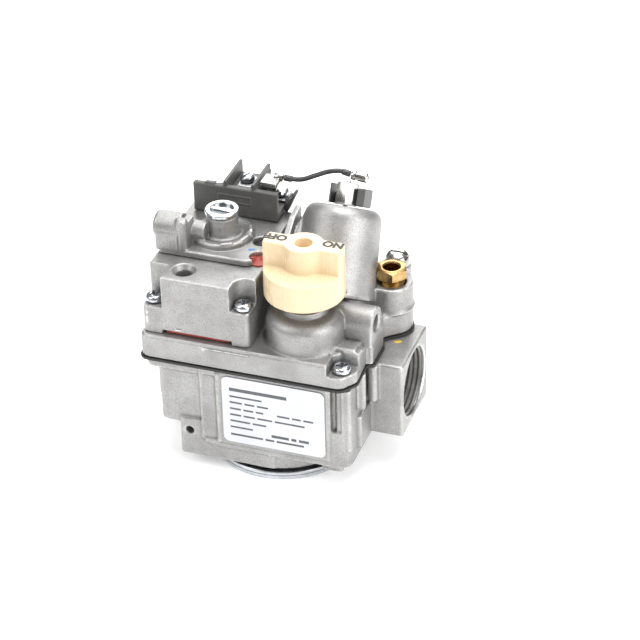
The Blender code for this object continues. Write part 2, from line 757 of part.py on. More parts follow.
def terminal_parts(plastic, zinc, steel):
    low = plate_top + gap
    high = low + block_height
    front, back = block_y
    left, right = block_x
    body = eased(block((left, front, low), (right, back, high)), 0.4, 1)
    fins = [
        block((fin_x, front + 0.3, high - 1), (fin_x + fin_thickness, back, high + fin_height))
        for fin_x in fin_places
    ]
    seats = {
        "left": (-35.6, 29.2, low + 3.2 + gap),
        "middle": (-23.4, 29.2, high - 3.0 + gap),
        "right": (-10.9, 33.0, low + 3.2 + gap),
    }
    cuts = [
        block((left - 1, front + 2.2, seats["left"][2] - gap), (fin_places[0] - 0.6, back + 1, high + 4)),
        block(
            (fin_places[0] + fin_thickness, front + 2.2, seats["middle"][2] - gap),
            (fin_places[1], back + 1, high + 4),
        ),
        block((-16.6, front + 2.2, seats["right"][2] - gap), (right + 1, back + 1, high + 4)),
    ]
    cuts += [hole(shank_radius + gap, (x, y), seat - 2.7, seat + 1) for x, y, seat in seats.values()]
    ears = [block((left + 5, front + 0.4, high - 0.6), (left + 9.0, front + 2.1, high + 0.7))]
    piece("terminal_block", plastic, body, add=ears + fins, cut=cuts)
    for side, (x, y, seat) in seats.items():
        tab = eased(block((x - 2.9, y - 4.4, seat), (x + 2.9, y + 3.9, seat + 0.8)), 0.2, 1)
        piece(
            f"terminal_tab_{side}",
            steel,
            tab,
            cut=[hole(shank_radius + gap, (x, y), seat - 1, seat + 2, 16)],
        )
        pan_screw(f"terminal_screw_{side}", zinc, (x, y, seat + 1.1), 3.4, 2.8, slot_only=True)
    stack_low = high - 1.0
    layers = [
        block((-15.6, 22.4, stack_low + 1.2 * i), (-9.6 + 0.35 * (i % 2), 29.4, stack_low + 1.2 * i + 1.0))
        for i in range(3)
    ]
    core = block((-15.2, 22.8, stack_low + 0.3), (-10.2, 29.0, stack_low + 3.0))
    foot = block((-15.1, 24.0, low + 3.8), (-14.1, 28.0, stack_low + 0.6))
    barrel = moved(rod(1.7, -12.0, lead_start.x - gap, 14), (0, lead_start.y, lead_start.z), to_x)
    piece("wire_lug", steel, core, add=layers + [foot, barrel])
    arm = prism([(0, 0), (1.0, 0), (4.6, 8.2), (3.5, 8.8), (1.4, 3.4), (0, 5.6)], 26.4, 30.4)
    arm.transform(Matrix(((1, 0, 0, right + gap), (0, 0, 1, 0), (0, 1, 0, low + 0.6), (0, 0, 0, 1))))
    bmesh.ops.reverse_faces(arm, faces=arm.faces)
    piece("wire_clip", plastic, arm)


def knob_train(cream, steel, brass, rubber):
    x, y = knob_xy
    cock = joint_empty("cock_axis", (x, y, flange_low))
    plug_low = cavity_top + gap
    plug_high = boss_top - 5.0 - gap
    plug = turned(
        [(0, plug_low), (plug_radius, plug_low), (plug_radius - 0.8, plug_high), (0, plug_high)], 28
    )
    ports = [
        moved(rod(2.4, 0, plug_radius + 2, 12), (0, 0, plug_low + 4.5), to_x),
        hole(stem_radius + running_gap, (0, 0), plug_low - 1, plug_high + 1),
    ]
    piece("cock_plug", brass, plug, (x, y, 0), cut=ports, parent=cock)
    seal_low = boss_top - 4.2
    piece(
        "stem_seal",
        rubber,
        tube(stem_radius + 1.5, stem_radius + 0.35, seal_low, seal_low + 2.0, 24),
        (x, y, 0),
    )
    piece(
        "stem_bushing",
        brass,
        tube(stem_radius + 1.5, stem_radius + 0.35, seal_low + 2.3, seal_low + 5.6, 24),
        (x, y, 0),
    )
    press = joint_empty("knob_axis", (x, y, knob_low))
    stem_top = knob_low + 14.0
    spindle = [
        (0, stem_low), (1.2, stem_low), (1.2, stem_low + 3), (stem_radius, stem_low + 3.6),
        (stem_radius, stem_top), (0, stem_top),
    ]
    piece("knob_stem", steel, turned(spindle, 16), (x, y, 0), parent=press)
    spring_low = boss_top + 2.2 + gap
    coil_spring(
        "knob_spring", steel, 4.6, 0.45, spring_low, knob_low + 5.7, 4.5, Matrix.Translation((x, y, 0))
    )
    edge = rounded(
        [(0, knob_low, 0), (knob_radius, knob_low, 0.9), (knob_radius, knob_top, 0.7), (0, knob_top, 0)],
        0,
        3,
    )
    grip = grip_outline()
    ledge_low, ledge_high = knob_low + ledge_height - 0.8, knob_low + ledge_height
    scoops = [scoop(side, grip, ledge_low, ledge_high) for side in (1, -1)]
    cuts = scoops + [
        rod(6.4, knob_low - 1, knob_low + 6, 24),
        rod(stem_radius + gap, knob_low, stem_top + gap, 16),
        rod(knob_hole_radius, knob_top - 5.0, knob_top + 1, 24),
        tube(knob_radius - 2.4, 8.8, knob_low - 1, knob_low + 7, 28),
    ]
    piece("knob", cream, turned(edge, 40), (x, y, 0), cut=cuts, parent=press, solver="MANIFOLD")


def grip_outline():
    """The +Y side of the knob's grip bar: straight ends that flare into the round bulge about the hole."""
    reach = knob_radius + 3
    flare = 3.2
    meet = math.degrees(math.asin((bar_half_width + flare) / (bulge_radius + flare)))
    centre_x = (bulge_radius + flare) * math.cos(math.radians(meet))
    right = arc((centre_x, bar_half_width + flare), flare, 270, 180 + meet, 4)
    bulge = arc((0, 0), bulge_radius, meet, 180 - meet, 12)
    left = [(-x, y) for x, y in reversed(right)]
    return [(reach, bar_half_width)] + right + bulge[1:-1] + left + [(-reach, bar_half_width)]


def scoop(side, grip, low_outside, low_inside):
    """What is cut away beside the grip bar, down to a ledge that falls a little towards the knob's wall."""
    reach = knob_radius + 3
    outline = [(x, side * y) for x, y in grip] + [(-reach, side * reach), (reach, side * reach)]
    shape = prism(outline, low_inside, knob_top + 2)
    for vert in shape.verts:
        if vert.co.z < knob_top and abs(vert.co.y) > knob_radius:
            vert.co.z = low_outside
    bmesh.ops.triangulate(shape, faces=shape.faces)
    return shape


def reset_lever_parts(steel):
    y, z = pivot_yz
    rock = joint_empty("reset_lever_axis", (0, y, z))
    arm = eased(block((12.2, -9.2, -0.75), (20.6, 9.0, 0.75)), 0.2, 1)
    hub = moved(rod(2.4, 12.2, 20.6, 16), (0, 0, 0), to_x)
    piece(
        "reset_lever",
        steel,
        arm,
        (0, y, z),
        add=[hub],
        cut=[moved(rod(pin_radius + gap, 10, 24, 12), (0, 0, 0), to_x)],
        parent=rock,
    )
    piece("lever_pin", steel, moved(rod(pin_radius, pin_x[0] + gap, pin_x[1] - gap, 12), (0, y, z), to_x))


def magnet_train(steel, copper, rubber, nickel, plastic):
    origin = tuple(magnet_top)

    def along(name, material, shape, add=(), cut=()):
        return piece(name, material, shape, origin, add=add, cut=cut, turn=leaning)

    core = [
        (0, -16.2), (4.6, -16.2), (4.6, -5.6), (core_radius, -5.6), (core_radius, -3.3),
        (3.0, -3.3), (3.0, -0.8), (0, -0.8),
    ]
    along("magnet_core", steel, turned(core, 20))
    along("magnet_coil", copper, tube(7.6, 4.9, -15.4, -5.9, 20))
    slide = joint_empty("safety_valve_axis", origin)
    slide.rotation_euler = leaning.to_euler()
    end = (magnet_top.z - (pivot_yz[1] + 2.6)) / math.cos(lean)
    valve = [
        (0, -19.5), (4.8, -19.5), (4.8, -20.8), (1.5, -20.8), (1.5, -30.4), (5.0, -30.4),
        (5.0, -33.0), (1.5, -33.0), (1.5, -end), (0, -end),
    ]
    made = piece("safety_valve", rubber, turned(valve, 16), (0, 0, 0))
    made.parent = slide
    coil_spring("safety_spring", steel, 3.2, 0.4, -30.1, -21.1, 4, magnet_frame)
    nut = hexagon(nut_across, 0.3, nut_height, 0.5)
    along("magnet_nut", nickel, nut, cut=[rod(1.5, -1, nut_height + 1, 12)])
    half = nut_across / math.sqrt(3) + gap
    saddle_block = block((half + 0.2, -3.4, 0.6), (half + 5.0, half + 2.2, 7.6))
    back_arm = block((-half - 2.6, half + 0.8, 0.6), (half + 5.0, half + 2.6, 5.0))
    left_arm = block((-half - 2.6, -1.6, 0.6), (-half - 1.2, half + 2.6, 8.2))
    along("lead_insulator", plastic, eased(saddle_block, 0.4, 1), add=[back_arm, left_arm])
    stud = [(0, -0.4), (1.1, -0.4), (1.1, nut_height + 0.9), (0, nut_height + 0.9)]
    along("lead_stud", steel, turned(stud, 12))


def lead_parts(dark, nickel):
    barrel_start = magnet_top + leaning.to_3x3() @ Vector((0.6, 0, nut_height + 3.2))
    turn = Matrix.Rotation(math.radians(96), 4, "Y")
    profile = rounded([(0, 0, 0), (1.9, 0, 0.3), (1.9, 6.6, 0.5), (0, 6.6, 0)], 0, 2)
    piece("lead_connector", nickel, moved(turned(profile, 16), turn=turn), tuple(barrel_start))
    route = [
        lead_start,
        lead_start + Vector((3.0, 0.2, -0.2)),
        lead_start + Vector((7.0, 0.6, 0.1)),
        lead_start + Vector((12.0, 1.2, 2.2)),
        lead_start + Vector((17.6, 2.2, 4.4)),
        barrel_start + Vector((-4.0, -0.2, 1.0)),
        barrel_start + Vector((-0.4, 0, 0.1)),
    ]
    wire_object("jumper_wire", dark, smooth_run(route, 1.6), 1.0)


def main_valve_parts(zinc, steel, rubber):
    x, y = valve_xy
    cover = [
        (0, 0), (cover_radius - 9, 0), (cover_radius - 8.2, 0.8), (cover_radius - 3.6, 0.8),
        (cover_radius - 2.8, 0), (cover_radius - 0.6, 0),
    ]
    cover += [
        (cover_radius, 0.6),
        (cover_radius, cover_height),
        (cover_radius - 7.0, cover_height),
        (cover_radius - 8.0, 1.9),
        (0, 1.9),
    ]
    piece("bottom_cover", zinc, turned(cover, 36))
    low = diaphragm_low
    top = low + diaphragm_thickness
    film = [
        (0, low), (17, low), (18.2, low + 1.5), (20.4, low + 1.5), (21.4, low),
        (skirt_radius - 0.8, low), (skirt_radius - 0.8, top), (21.9, top), (20.8, low + 2.3),
        (17.8, low + 2.3), (16.5, top), (0, top),
    ]
    piece("main_diaphragm", rubber, turned(film, 24))
    plate_at = top + gap
    piece(
        "diaphragm_plate",
        steel,
        turned(
            [
                (0, plate_at), (13.6, plate_at), (13.6, plate_at + 1.0), (2.6, plate_at + 1.0),
                (2.6, plate_at + 1.6), (0, plate_at + 1.6),
            ],
            20,
        ),
        (x, y, 0),
    )
    lift = joint_empty("main_valve_axis", (x, y, seat_z))
    stem_low_z = plate_at + 1.9
    disc_low = seat_z + gap
    poppet = [
        (0, stem_low_z), (valve_stem_radius, stem_low_z), (valve_stem_radius, disc_low),
        (well_radius - 2, disc_low), (well_radius - 2, disc_low + 2.4), (4.0, disc_low + 2.4),
        (4.0, disc_low + 4.4), (0, disc_low + 4.4),
    ]
    piece("main_valve", rubber, turned(poppet, 20), (x, y, 0), parent=lift)
    coil_spring(
        "main_valve_spring", steel, 6.4, 0.6, disc_low + 2.7, gasket_low - 1.0, 5,
        Matrix.Translation((x, y, 0)),
    )


def pilot_parts(brass, nickel):
    x, y = pilot_boss_xy
    top = flange_top + pilot_boss_height
    nut = hexagon(11.0, top + 2.2, top + 6.2, 0.7)
    collar = rod(5.0, top - 6.6, top + 2.6, 24)
    bore = [rod(3.15, top - 3.0, top + 8, 16), rod(1.6, top - 8, top, 12)]
    piece(
        "pilot_fitting",
        brass,
        moved(nut, (0, 0, 0), Matrix.Rotation(math.radians(20), 4, "Z")),
        (x, y, 0),
        add=[collar],
        cut=bore,
    )
    piece("pilot_ferrule", brass, tube(2.85, 1.9, top - 2.6, top + 0.6, 16), (x, y, 0))
    sx, sy = pilot_screw_xy
    spin = joint_empty("pilot_adjuster_axis", (sx, sy, top))
    dome = rounded(
        [(0, top + 4.6, 0), (4.4, top + 4.6, 3.0), (4.4, top + gap, 0), (0, top + gap, 0)], 0, 6
    )[:-1]
    adjuster = dome + [(2.3, top + gap), (2.3, top - 6.4), (0, top - 6.4)]
    slot = block((-3.2, -0.5, top + 3.4), (3.2, 0.5, top + 6))
    piece("pilot_adjuster", nickel, turned(adjuster, 16), (sx, sy, 0), cut=[slot], parent=spin)
    plug_z = flange_top + port_boss_height
    piece(
        "tap_plug",
        nickel,
        moved(rod(3.1, port_boss_face - 11.4, port_boss_face - 7.5, 14), (0, port_boss_y, plug_z), to_x),
        cut=[moved(rod(1.3, port_boss_face - 9.5, port_boss_face, 6), (0, port_boss_y, plug_z), to_x)],
    )


def inlet_screen_part(steel):
    low = port_face_x - thread_depth + gap
    ring = turned([(7.6, 0), (12.0, 0), (12.0, 0.8), (8.2, 0.8), (8.2, 5.0), (7.6, 5.0)], 24)
    piece(
        "inlet_screen",
        steel,
        moved(ring, (low, port_y, port_z), to_x),
        add=[
            moved(block((-8.0, -0.3, 4.0), (8.0, 0.3, 4.7)), (low, port_y, port_z), to_x),
            moved(block((-0.3, -8.0, 4.0), (0.3, 8.0, 4.7)), (low, port_y, port_z), to_x),
        ],
    )


def label_part(paper):
    x_low = label_panel_x[0] + 2.2
    plate = prism(rectangle((x_low, 0), (x_low + label_size[0], label_size[1]), 2.4), 0, label_thickness)
    at = (0, label_panel_y - gap, 16.0)
    piece("label", paper, plate, at, turn=Matrix.Rotation(math.radians(90), 4, "X"))


def screws(zinc):
    for name, (x, y, seat) in operator_screws.items():
        length = seat - (body_top - 6.0) if name == "front_left" else seat - (flange_top - 7.0)
        pan_screw(f"operator_screw_{name}", zinc, (x, y, seat + gap), length)
    for name, (x, y, seat) in body_screws.items():
        if name != "front_left":
            pan_screw(f"body_screw_{name}", zinc, (x, y, seat + gap), seat - 7.2)


def main():
    for old in list(bpy.data.objects):
        bpy.data.objects.remove(old, do_unlink=True)
    aluminium = finish("die_cast_aluminium", (0.56, 0.56, 0.55), 0.42, 1.0)
    zinc = finish("zinc_plate", (0.74, 0.76, 0.79), 0.25, 1.0)
    nickel = finish("nickel_plate", (0.82, 0.82, 0.80), 0.15, 1.0)
    steel = finish("spring_steel", (0.46, 0.46, 0.47), 0.35, 1.0)
    brass = finish("brass", (0.78, 0.57, 0.25), 0.22, 1.0)
    copper = finish("copper_winding", (0.62, 0.31, 0.17), 0.4, 1.0)
    cream = finish("cream_plastic", (0.91, 0.80, 0.60), 0.38, 0.0)
    plastic = finish("dark_grey_plastic", (0.13, 0.13, 0.125), 0.5, 0.0)
    red = finish("red_silicone", (0.62, 0.16, 0.12), 0.55, 0.0)
    rubber = finish("black_rubber", (0.025, 0.025, 0.025), 0.6, 0.0)
    paper = finish("label_paper", (0.88, 0.89, 0.90), 0.45, 0.0)
    lead = finish("lead_insulation", (0.12, 0.12, 0.12), 0.45, 0.0)
    lower_body(aluminium)
    body_gasket(rubber)
    upper_body(aluminium)
    operator_housing(aluminium)
    operator_gasket(red)
    regulator_cover(aluminium)
    regulator_parts(zinc, plastic, rubber, steel)
    operator_parts(copper, steel)
    terminal_parts(plastic, zinc, steel)
    knob_train(cream, steel, brass, rubber)
    reset_lever_parts(steel)
    magnet_train(steel, copper, rubber, nickel, plastic)
    lead_parts(lead, nickel)
    main_valve_parts(zinc, steel, rubber)
    pilot_parts(brass, nickel)
    inlet_screen_part(steel)
    label_part(paper)
    screws(zinc)


main()
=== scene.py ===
import json
import math

import bpy
from mathutils import Matrix, Vector

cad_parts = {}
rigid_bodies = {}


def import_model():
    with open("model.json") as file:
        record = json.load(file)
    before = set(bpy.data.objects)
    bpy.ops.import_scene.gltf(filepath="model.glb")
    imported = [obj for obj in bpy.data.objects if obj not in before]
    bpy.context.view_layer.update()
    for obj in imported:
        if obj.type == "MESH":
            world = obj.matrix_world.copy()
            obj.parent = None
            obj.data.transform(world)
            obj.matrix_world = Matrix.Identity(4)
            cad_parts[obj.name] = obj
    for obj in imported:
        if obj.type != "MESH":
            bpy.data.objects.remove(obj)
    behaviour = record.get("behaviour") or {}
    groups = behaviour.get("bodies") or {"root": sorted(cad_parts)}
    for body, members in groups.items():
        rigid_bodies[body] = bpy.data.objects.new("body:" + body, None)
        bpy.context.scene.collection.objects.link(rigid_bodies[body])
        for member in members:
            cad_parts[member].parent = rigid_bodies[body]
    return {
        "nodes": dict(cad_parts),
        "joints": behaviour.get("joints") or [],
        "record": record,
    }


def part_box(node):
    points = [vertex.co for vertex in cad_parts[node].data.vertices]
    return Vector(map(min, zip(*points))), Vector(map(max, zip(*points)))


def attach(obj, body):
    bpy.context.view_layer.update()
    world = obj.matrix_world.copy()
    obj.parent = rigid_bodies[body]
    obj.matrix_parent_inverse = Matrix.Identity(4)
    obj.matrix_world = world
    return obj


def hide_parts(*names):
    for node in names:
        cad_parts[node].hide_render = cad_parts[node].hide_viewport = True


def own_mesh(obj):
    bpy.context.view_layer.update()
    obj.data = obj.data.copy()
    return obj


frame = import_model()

mm = 0.001  # every size below is in millimetres
for startName in ("Cube", "Light", "Camera"):  # what a new file opens with
    if startName in bpy.data.objects:
        bpy.data.objects.remove(bpy.data.objects[startName], do_unlink=True)
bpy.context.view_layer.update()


# Selecting and finishing

def settle():
    if bpy.context.mode != "OBJECT":
        bpy.ops.object.mode_set(mode="OBJECT")
    bpy.ops.object.select_all(action="DESELECT")


def pick(*pieces):
    settle()
    for piece in pieces:
        piece.select_set(True)
    bpy.context.view_layer.objects.active = pieces[0]


def named(name):  # the new primitive's place goes into its mesh
    piece = bpy.context.active_object
    piece.name = piece.data.name = name
    pick(piece)
    bpy.ops.object.transform_apply(location=True, rotation=True, scale=True)
    return piece


def roundEdges(piece, width, steps, test):  # bevels the edges whose two ends pass the test
    pick(piece)
    bpy.ops.object.mode_set(mode="EDIT")
    bpy.ops.mesh.select_mode(type="EDGE")
    bpy.ops.mesh.select_all(action="DESELECT")
    bpy.ops.object.mode_set(mode="OBJECT")
    mesh = piece.data
    for edge in mesh.edges:
        edge.select = test(*(mesh.vertices[end].co / mm for end in edge.vertices))
    bpy.ops.object.mode_set(mode="EDIT")
    bpy.ops.mesh.bevel(offset=width * mm, segments=steps, affect="EDGES")


def outward(piece, merge=0.002):
    pick(piece)
    bpy.ops.object.mode_set(mode="EDIT")
    bpy.ops.mesh.select_all(action="SELECT")
    bpy.ops.mesh.remove_doubles(threshold=merge * mm)
    bpy.ops.mesh.normals_make_consistent(inside=False)
    settle()


def place(piece, matrix):
    pick(piece)
    piece.matrix_world = matrix
    bpy.ops.object.transform_apply(location=True, rotation=True, scale=True)
    return piece


def shift(at):
    return Matrix.Translation(Vector(at) * mm)


def upright(at, z=0):  # over a place, standing on that height
    return shift((at.x, at.y, z))


def turnAbout(axis, degrees):
    return Matrix.Rotation(math.radians(degrees), 4, axis)


def applyAll(piece):
    pick(piece)
    for modifier in tuple(piece.modifiers):
        bpy.ops.object.modifier_apply(modifier=modifier.name)


def boolean(piece, tool, operation="DIFFERENCE"):
    change = piece.modifiers.new("Cut", "BOOLEAN")
    change.operation, change.solver, change.object = operation, "MANIFOLD", tool
    applyAll(piece)
    bpy.data.objects.remove(tool, do_unlink=True)
    return piece


def softEdges(piece, width, angle=40):
    bevel = piece.modifiers.new("Soft edges", "BEVEL")
    bevel.width, bevel.segments = width * mm, 2
    bevel.limit_method, bevel.angle_limit = "ANGLE", math.radians(angle)
    applyAll(piece)
    return piece


def castSkin(piece, parts, skin, bores=()):  # one skin over all the shapes, with a casting's small fillets
    for part in parts:
        boolean(piece, part, "UNION")
    for bore in bores:
        boolean(piece, bore)
    remesh = piece.modifiers.new("Skin", "REMESH")
    remesh.mode, remesh.voxel_size, remesh.use_smooth_shade = "VOXEL", skin["voxel"] * mm, True
    soften = piece.modifiers.new("Soften", "SMOOTH")
    soften.factor, soften.iterations = 0.5, skin["soften"]
    applyAll(piece)
    triangles = 2 * len(piece.data.polygons)
    if triangles > skin["most"]:
        thin = piece.modifiers.new("Thin out", "DECIMATE")
        thin.ratio = skin["most"] / triangles
        applyAll(piece)
    return piece


# Shapes that several pieces start from

def slab(name, low, high, corner=0.0, edge=0.0, steps=4):
    low, high = Vector(low), Vector(high)
    bpy.ops.mesh.primitive_cube_add(size=1, location=(low + high) / 2 * mm)
    bpy.context.active_object.scale = (high - low) * mm
    piece = named(name)
    if corner:
        roundEdges(piece, corner, steps, lambda a, b: (a.xy - b.xy).length < 1e-3)
    if edge:
        roundEdges(piece, edge, steps, lambda a, b: min(a.z, b.z) > high.z - 1e-3)
    settle()
    return piece


def turned(name, profile, matrix=None, sides=64):  # a filled circle, extruded and resized up the profile
    radius, height = profile[0]
    settle()
    bpy.ops.mesh.primitive_circle_add(
        vertices=sides, radius=radius * mm, fill_type="NGON", location=(0, 0, height * mm)
    )
    bpy.ops.object.mode_set(mode="EDIT")
    bpy.ops.mesh.select_all(action="SELECT")
    for (wide, low), (wider, higher) in zip(profile, profile[1:]):
        bpy.ops.mesh.extrude_region_move(TRANSFORM_OT_translate={"value": (0, 0, (higher - low) * mm)})
        bpy.ops.transform.resize(
            value=(wider / wide, wider / wide, 1), center_override=(0, 0, higher * mm)
        )
    bpy.ops.mesh.select_all(action="SELECT")
    bpy.ops.mesh.normals_make_consistent(inside=False)
    settle()
    bpy.context.view_layer.objects.active.select_set(True)
    piece = named(name)
    return place(piece, matrix) if matrix else piece


def arcPoints(centre, radius, start, end, steps):  # (radius, height) points of a rounded corner
    turns = [math.radians(start + (end - start) * step / steps) for step in range(steps + 1)]
    return [(centre[0] + radius * math.cos(turn), centre[1] + radius * math.sin(turn)) for turn in turns]


def ridges(radius, cut, pitch, start, end):  # a thread's crests and roots, for a profile
    points = []
    while start < end:
        points += [(radius, start + pitch * 0.5), (radius - cut, start + pitch)]
        start += pitch
    return points


def hexNut(name, across, low, high, turn, lathe):
    settle()
    bpy.ops.mesh.primitive_cylinder_add(
        vertices=6, radius=across / math.sqrt(3) * mm, depth=(high - low) * mm,
        location=(0, 0, (high + low) / 2 * mm), rotation=(0, 0, math.radians(turn)),
    )
    piece = named(name)
    boolean(piece, turned("lathe", lathe, sides=96), "INTERSECT")
    return softEdges(piece, 0.12, 30)


def copyOf(data, name):
    piece = bpy.data.objects.new(name, data.copy())
    bpy.context.scene.collection.objects.link(piece)
    return piece


def copyNode(node, name):
    piece = copyOf(frame["nodes"][node].data, name)
    piece.data.materials.clear()
    outward(piece)
    pick(piece)
    if piece.data.has_custom_normals:
        bpy.ops.mesh.customdata_custom_splitnormals_clear()
    return piece


def nodeBox(node):
    low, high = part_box(node)
    return Vector(low) / mm, Vector(high) / mm


def nodeMiddle(node):
    return sum(nodeBox(node), Vector()) / 2


def keep(piece, body, nodes, slot, finish=None, smooth=35):  # a piece that comes with its paint keeps it
    if not any(piece.data.materials):
        piece.data.materials.clear()
        piece.data.materials.append(materials[finish or slot])
    pick(piece)
    bpy.ops.object.shade_smooth_by_angle(angle=math.radians(smooth))
    settle()
    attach(piece, body)
    if nodes:
        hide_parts(*nodes)


# Camera, floor and light

view = {"place": (303.3, -791.3, 599.0), "azimuth": 20.0, "elevation": 32.74, "roll": -1.49, "lens": 148.5}
studio = {
    "floor": 0.93, "floorRough": 0.9, "floorGlow": 0.3,
    "world": 0.46, "below": (0.3, 0.3, 0.31, 1), "bright": 0.75,
    "lights": {  # where each stands, its width and its power
        "key": ((-620, -520, 760), 620, 4.6), "fill": ((760, -300, 420), 560, 5.6),
        "top": ((60, 120, 900), 700, 9.0), "rim": ((-200, 720, 520), 520, 3.0),
    },
}


def makeCamera():
    azimuth, elevation, roll = (math.radians(view[part]) for part in ("azimuth", "elevation", "roll"))
    right = Vector((math.cos(azimuth), math.sin(azimuth), 0))
    level = math.cos(elevation)
    ahead = Vector((-math.sin(azimuth) * level, math.cos(azimuth) * level, -math.sin(elevation)))
    up = right.cross(ahead)
    across = right * math.cos(roll) + up * math.sin(roll)
    head = up * math.cos(roll) - right * math.sin(roll)
    turn = Matrix((across, head, -ahead)).transposed()
    settle()
    bpy.ops.object.camera_add(location=Vector(view["place"]) * mm, rotation=turn.to_euler())
    camera = bpy.context.active_object
    camera.data.lens = view["lens"]
    bpy.context.scene.camera = camera


def makeStudio():
    settle()
    bpy.ops.mesh.primitive_plane_add(size=12)
    floor = named("studioFloor")
    paint = bpy.data.materials.new("paleFloor")
    paint.use_nodes = True
    shader = paint.node_tree.nodes["Principled BSDF"]
    shader.inputs["Base Color"].default_value = (studio["floor"],) * 3 + (1,)
    shader.inputs["Roughness"].default_value = studio["floorRough"]
    shader.inputs["Emission Color"].default_value = (1, 1, 1, 1)
    shader.inputs["Emission Strength"].default_value = studio["floorGlow"]
    floor.data.materials.append(paint)
    for name, (at, size, power) in studio["lights"].items():
        aim = (Vector((0, 0, 50)) - Vector(at)).to_track_quat("-Z", "Y")
        settle()
        bpy.ops.object.light_add(type="AREA", location=Vector(at) * mm, rotation=aim.to_euler())
        lamp = bpy.context.active_object
        lamp.name = name + "Light"
        lamp.data.size, lamp.data.energy = size * mm, power
    world = bpy.data.worlds.new("softStudio")
    world.use_nodes = True
    nodes, links = world.node_tree.nodes, world.node_tree.links
    sky = nodes["Background"]
    sky.inputs["Strength"].default_value = studio["world"]
    where = nodes.new("ShaderNodeTexCoord")
    split = nodes.new("ShaderNodeSeparateXYZ")
    ramp = nodes.new("ShaderNodeValToRGB")
    low, high = ramp.color_ramp.elements
    low.position, low.color = 0.0, studio["below"]
    high.position, high.color = studio["bright"], (1, 1, 1, 1)
    links.new(where.outputs["Generated"], split.inputs[0])
    links.new(split.outputs["Z"], ramp.inputs["Fac"])
    links.new(ramp.outputs["Color"], sky.inputs["Color"])
    bpy.context.scene.world = world
    bpy.context.scene.view_settings.view_transform = "Standard"


makeCamera()
makeStudio()
print("camera, floor and light are set")


# Shader groups

def newGroup(name, numbers, outputs):
    group = bpy.data.node_groups.new(name, "ShaderNodeTree")
    for label, value in numbers.items():
        socket = group.interface.new_socket(name=label, in_out="INPUT", socket_type="NodeSocketFloat")
        socket.default_value = value
    for label in outputs:
        group.interface.new_socket(name=label, in_out="OUTPUT", socket_type="NodeSocketFloat")
    return group, group.nodes.new("NodeGroupInput"), group.nodes.new("NodeGroupOutput")


def feed(tree, socket, value):  # a link where the value comes from a node
    if isinstance(value, bpy.types.NodeSocket):
        tree.links.new(value, socket)
    else:
        socket.default_value = value


def objectPlace(tree):
    return tree.nodes.new("ShaderNodeTexCoord").outputs["Object"]


def addNoise(group, vector, scale, detail, rough):
    noise = group.nodes.new("ShaderNodeTexNoise")
    for label, value in (("Vector", vector), ("Scale", scale), ("Detail", detail), ("Roughness", rough)):
        feed(group, noise.inputs[label], value)
    return noise.outputs["Fac"]


def mapped(tree, value, low, high, toLow=0.0, toHigh=1.0):
    node = tree.nodes.new("ShaderNodeMapRange")
    for label, number in (
        ("Value", value), ("From Min", low), ("From Max", high), ("To Min", toLow), ("To Max", toHigh),
    ):
        feed(tree, node.inputs[label], number)
    return node.outputs["Result"]


def worked(tree, operation, *values):
    node = tree.nodes.new("ShaderNodeMath")
    node.operation = operation
    for socket, value in zip(node.inputs, values):
        feed(tree, socket, value)
    return node.outputs[0]


def makeGrainGroup():
    group, inside, outside = newGroup(
        "surfaceGrain", {"Grain Scale": 2200.0, "Blotch Scale": 90.0}, ("Grain", "Blotch", "Pits")
    )
    where = objectPlace(group)
    grain = addNoise(group, where, inside.outputs["Grain Scale"], 3.0, 0.6)
    blotch = addNoise(group, where, inside.outputs["Blotch Scale"], 4.0, 0.55)
    cells = group.nodes.new("ShaderNodeTexVoronoi")
    feed(group, cells.inputs["Vector"], where)
    feed(group, cells.inputs["Scale"], inside.outputs["Grain Scale"])
    feed(group, outside.inputs["Grain"], grain)
    feed(group, outside.inputs["Blotch"], mapped(group, blotch, 0.3, 0.7))
    feed(group, outside.inputs["Pits"], mapped(group, cells.outputs["Distance"], 0.0, 0.25))
    return group


def makeWearAndShadeGroup():
    group, inside, outside = newGroup("edgeWear", {"Break Up Scale": 700.0}, ("Edge", "Crevice"))
    broken = addNoise(group, objectPlace(group), inside.outputs["Break Up Scale"], 3.0, 0.6)
    shape = group.nodes.new("ShaderNodeNewGeometry").outputs["Pointiness"]
    rubbed = worked(group, "MULTIPLY", mapped(group, shape, 0.505, 0.56), mapped(group, broken, 0.3, 0.62))
    feed(group, outside.inputs["Edge"], rubbed)
    # painted shade: concave places, found by pointiness, are marked to be darkened
    feed(group, outside.inputs["Crevice"], mapped(group, shape, 0.495, 0.44))
    return group


def makeStreakGroup():
    group, inside, outside = newGroup("fineStreaks", {"Streak Scale": 900.0}, ("Streak",))
    stretch = group.nodes.new("ShaderNodeMapping")
    stretch.inputs["Scale"].default_value = (1.0, 1.0, 0.06)
    feed(group, stretch.inputs["Vector"], objectPlace(group))
    streak = addNoise(group, stretch.outputs["Vector"], inside.outputs["Streak Scale"], 2.0, 0.5)
    feed(group, outside.inputs["Streak"], mapped(group, streak, 0.3, 0.7))
    return group


grainGroup, wearAndShadeGroup, streakGroup = makeGrainGroup(), makeWearAndShadeGroup(), makeStreakGroup()


def placed(tree, group, numbers):
    node = tree.nodes.new("ShaderNodeGroup")
    node.node_tree = group
    for label, value in numbers.items():
        node.inputs[label].default_value = value
    return node.outputs


def mixed(tree, factor, first, second):
    node = tree.nodes.new("ShaderNodeMix")
    node.data_type = "RGBA"
    feed(tree, node.inputs["Factor"], factor)
    for socket, value in zip(node.inputs[6:8], (first, second)):
        feed(tree, socket, (*value, 1) if isinstance(value, tuple) else value)
    return node.outputs[2]
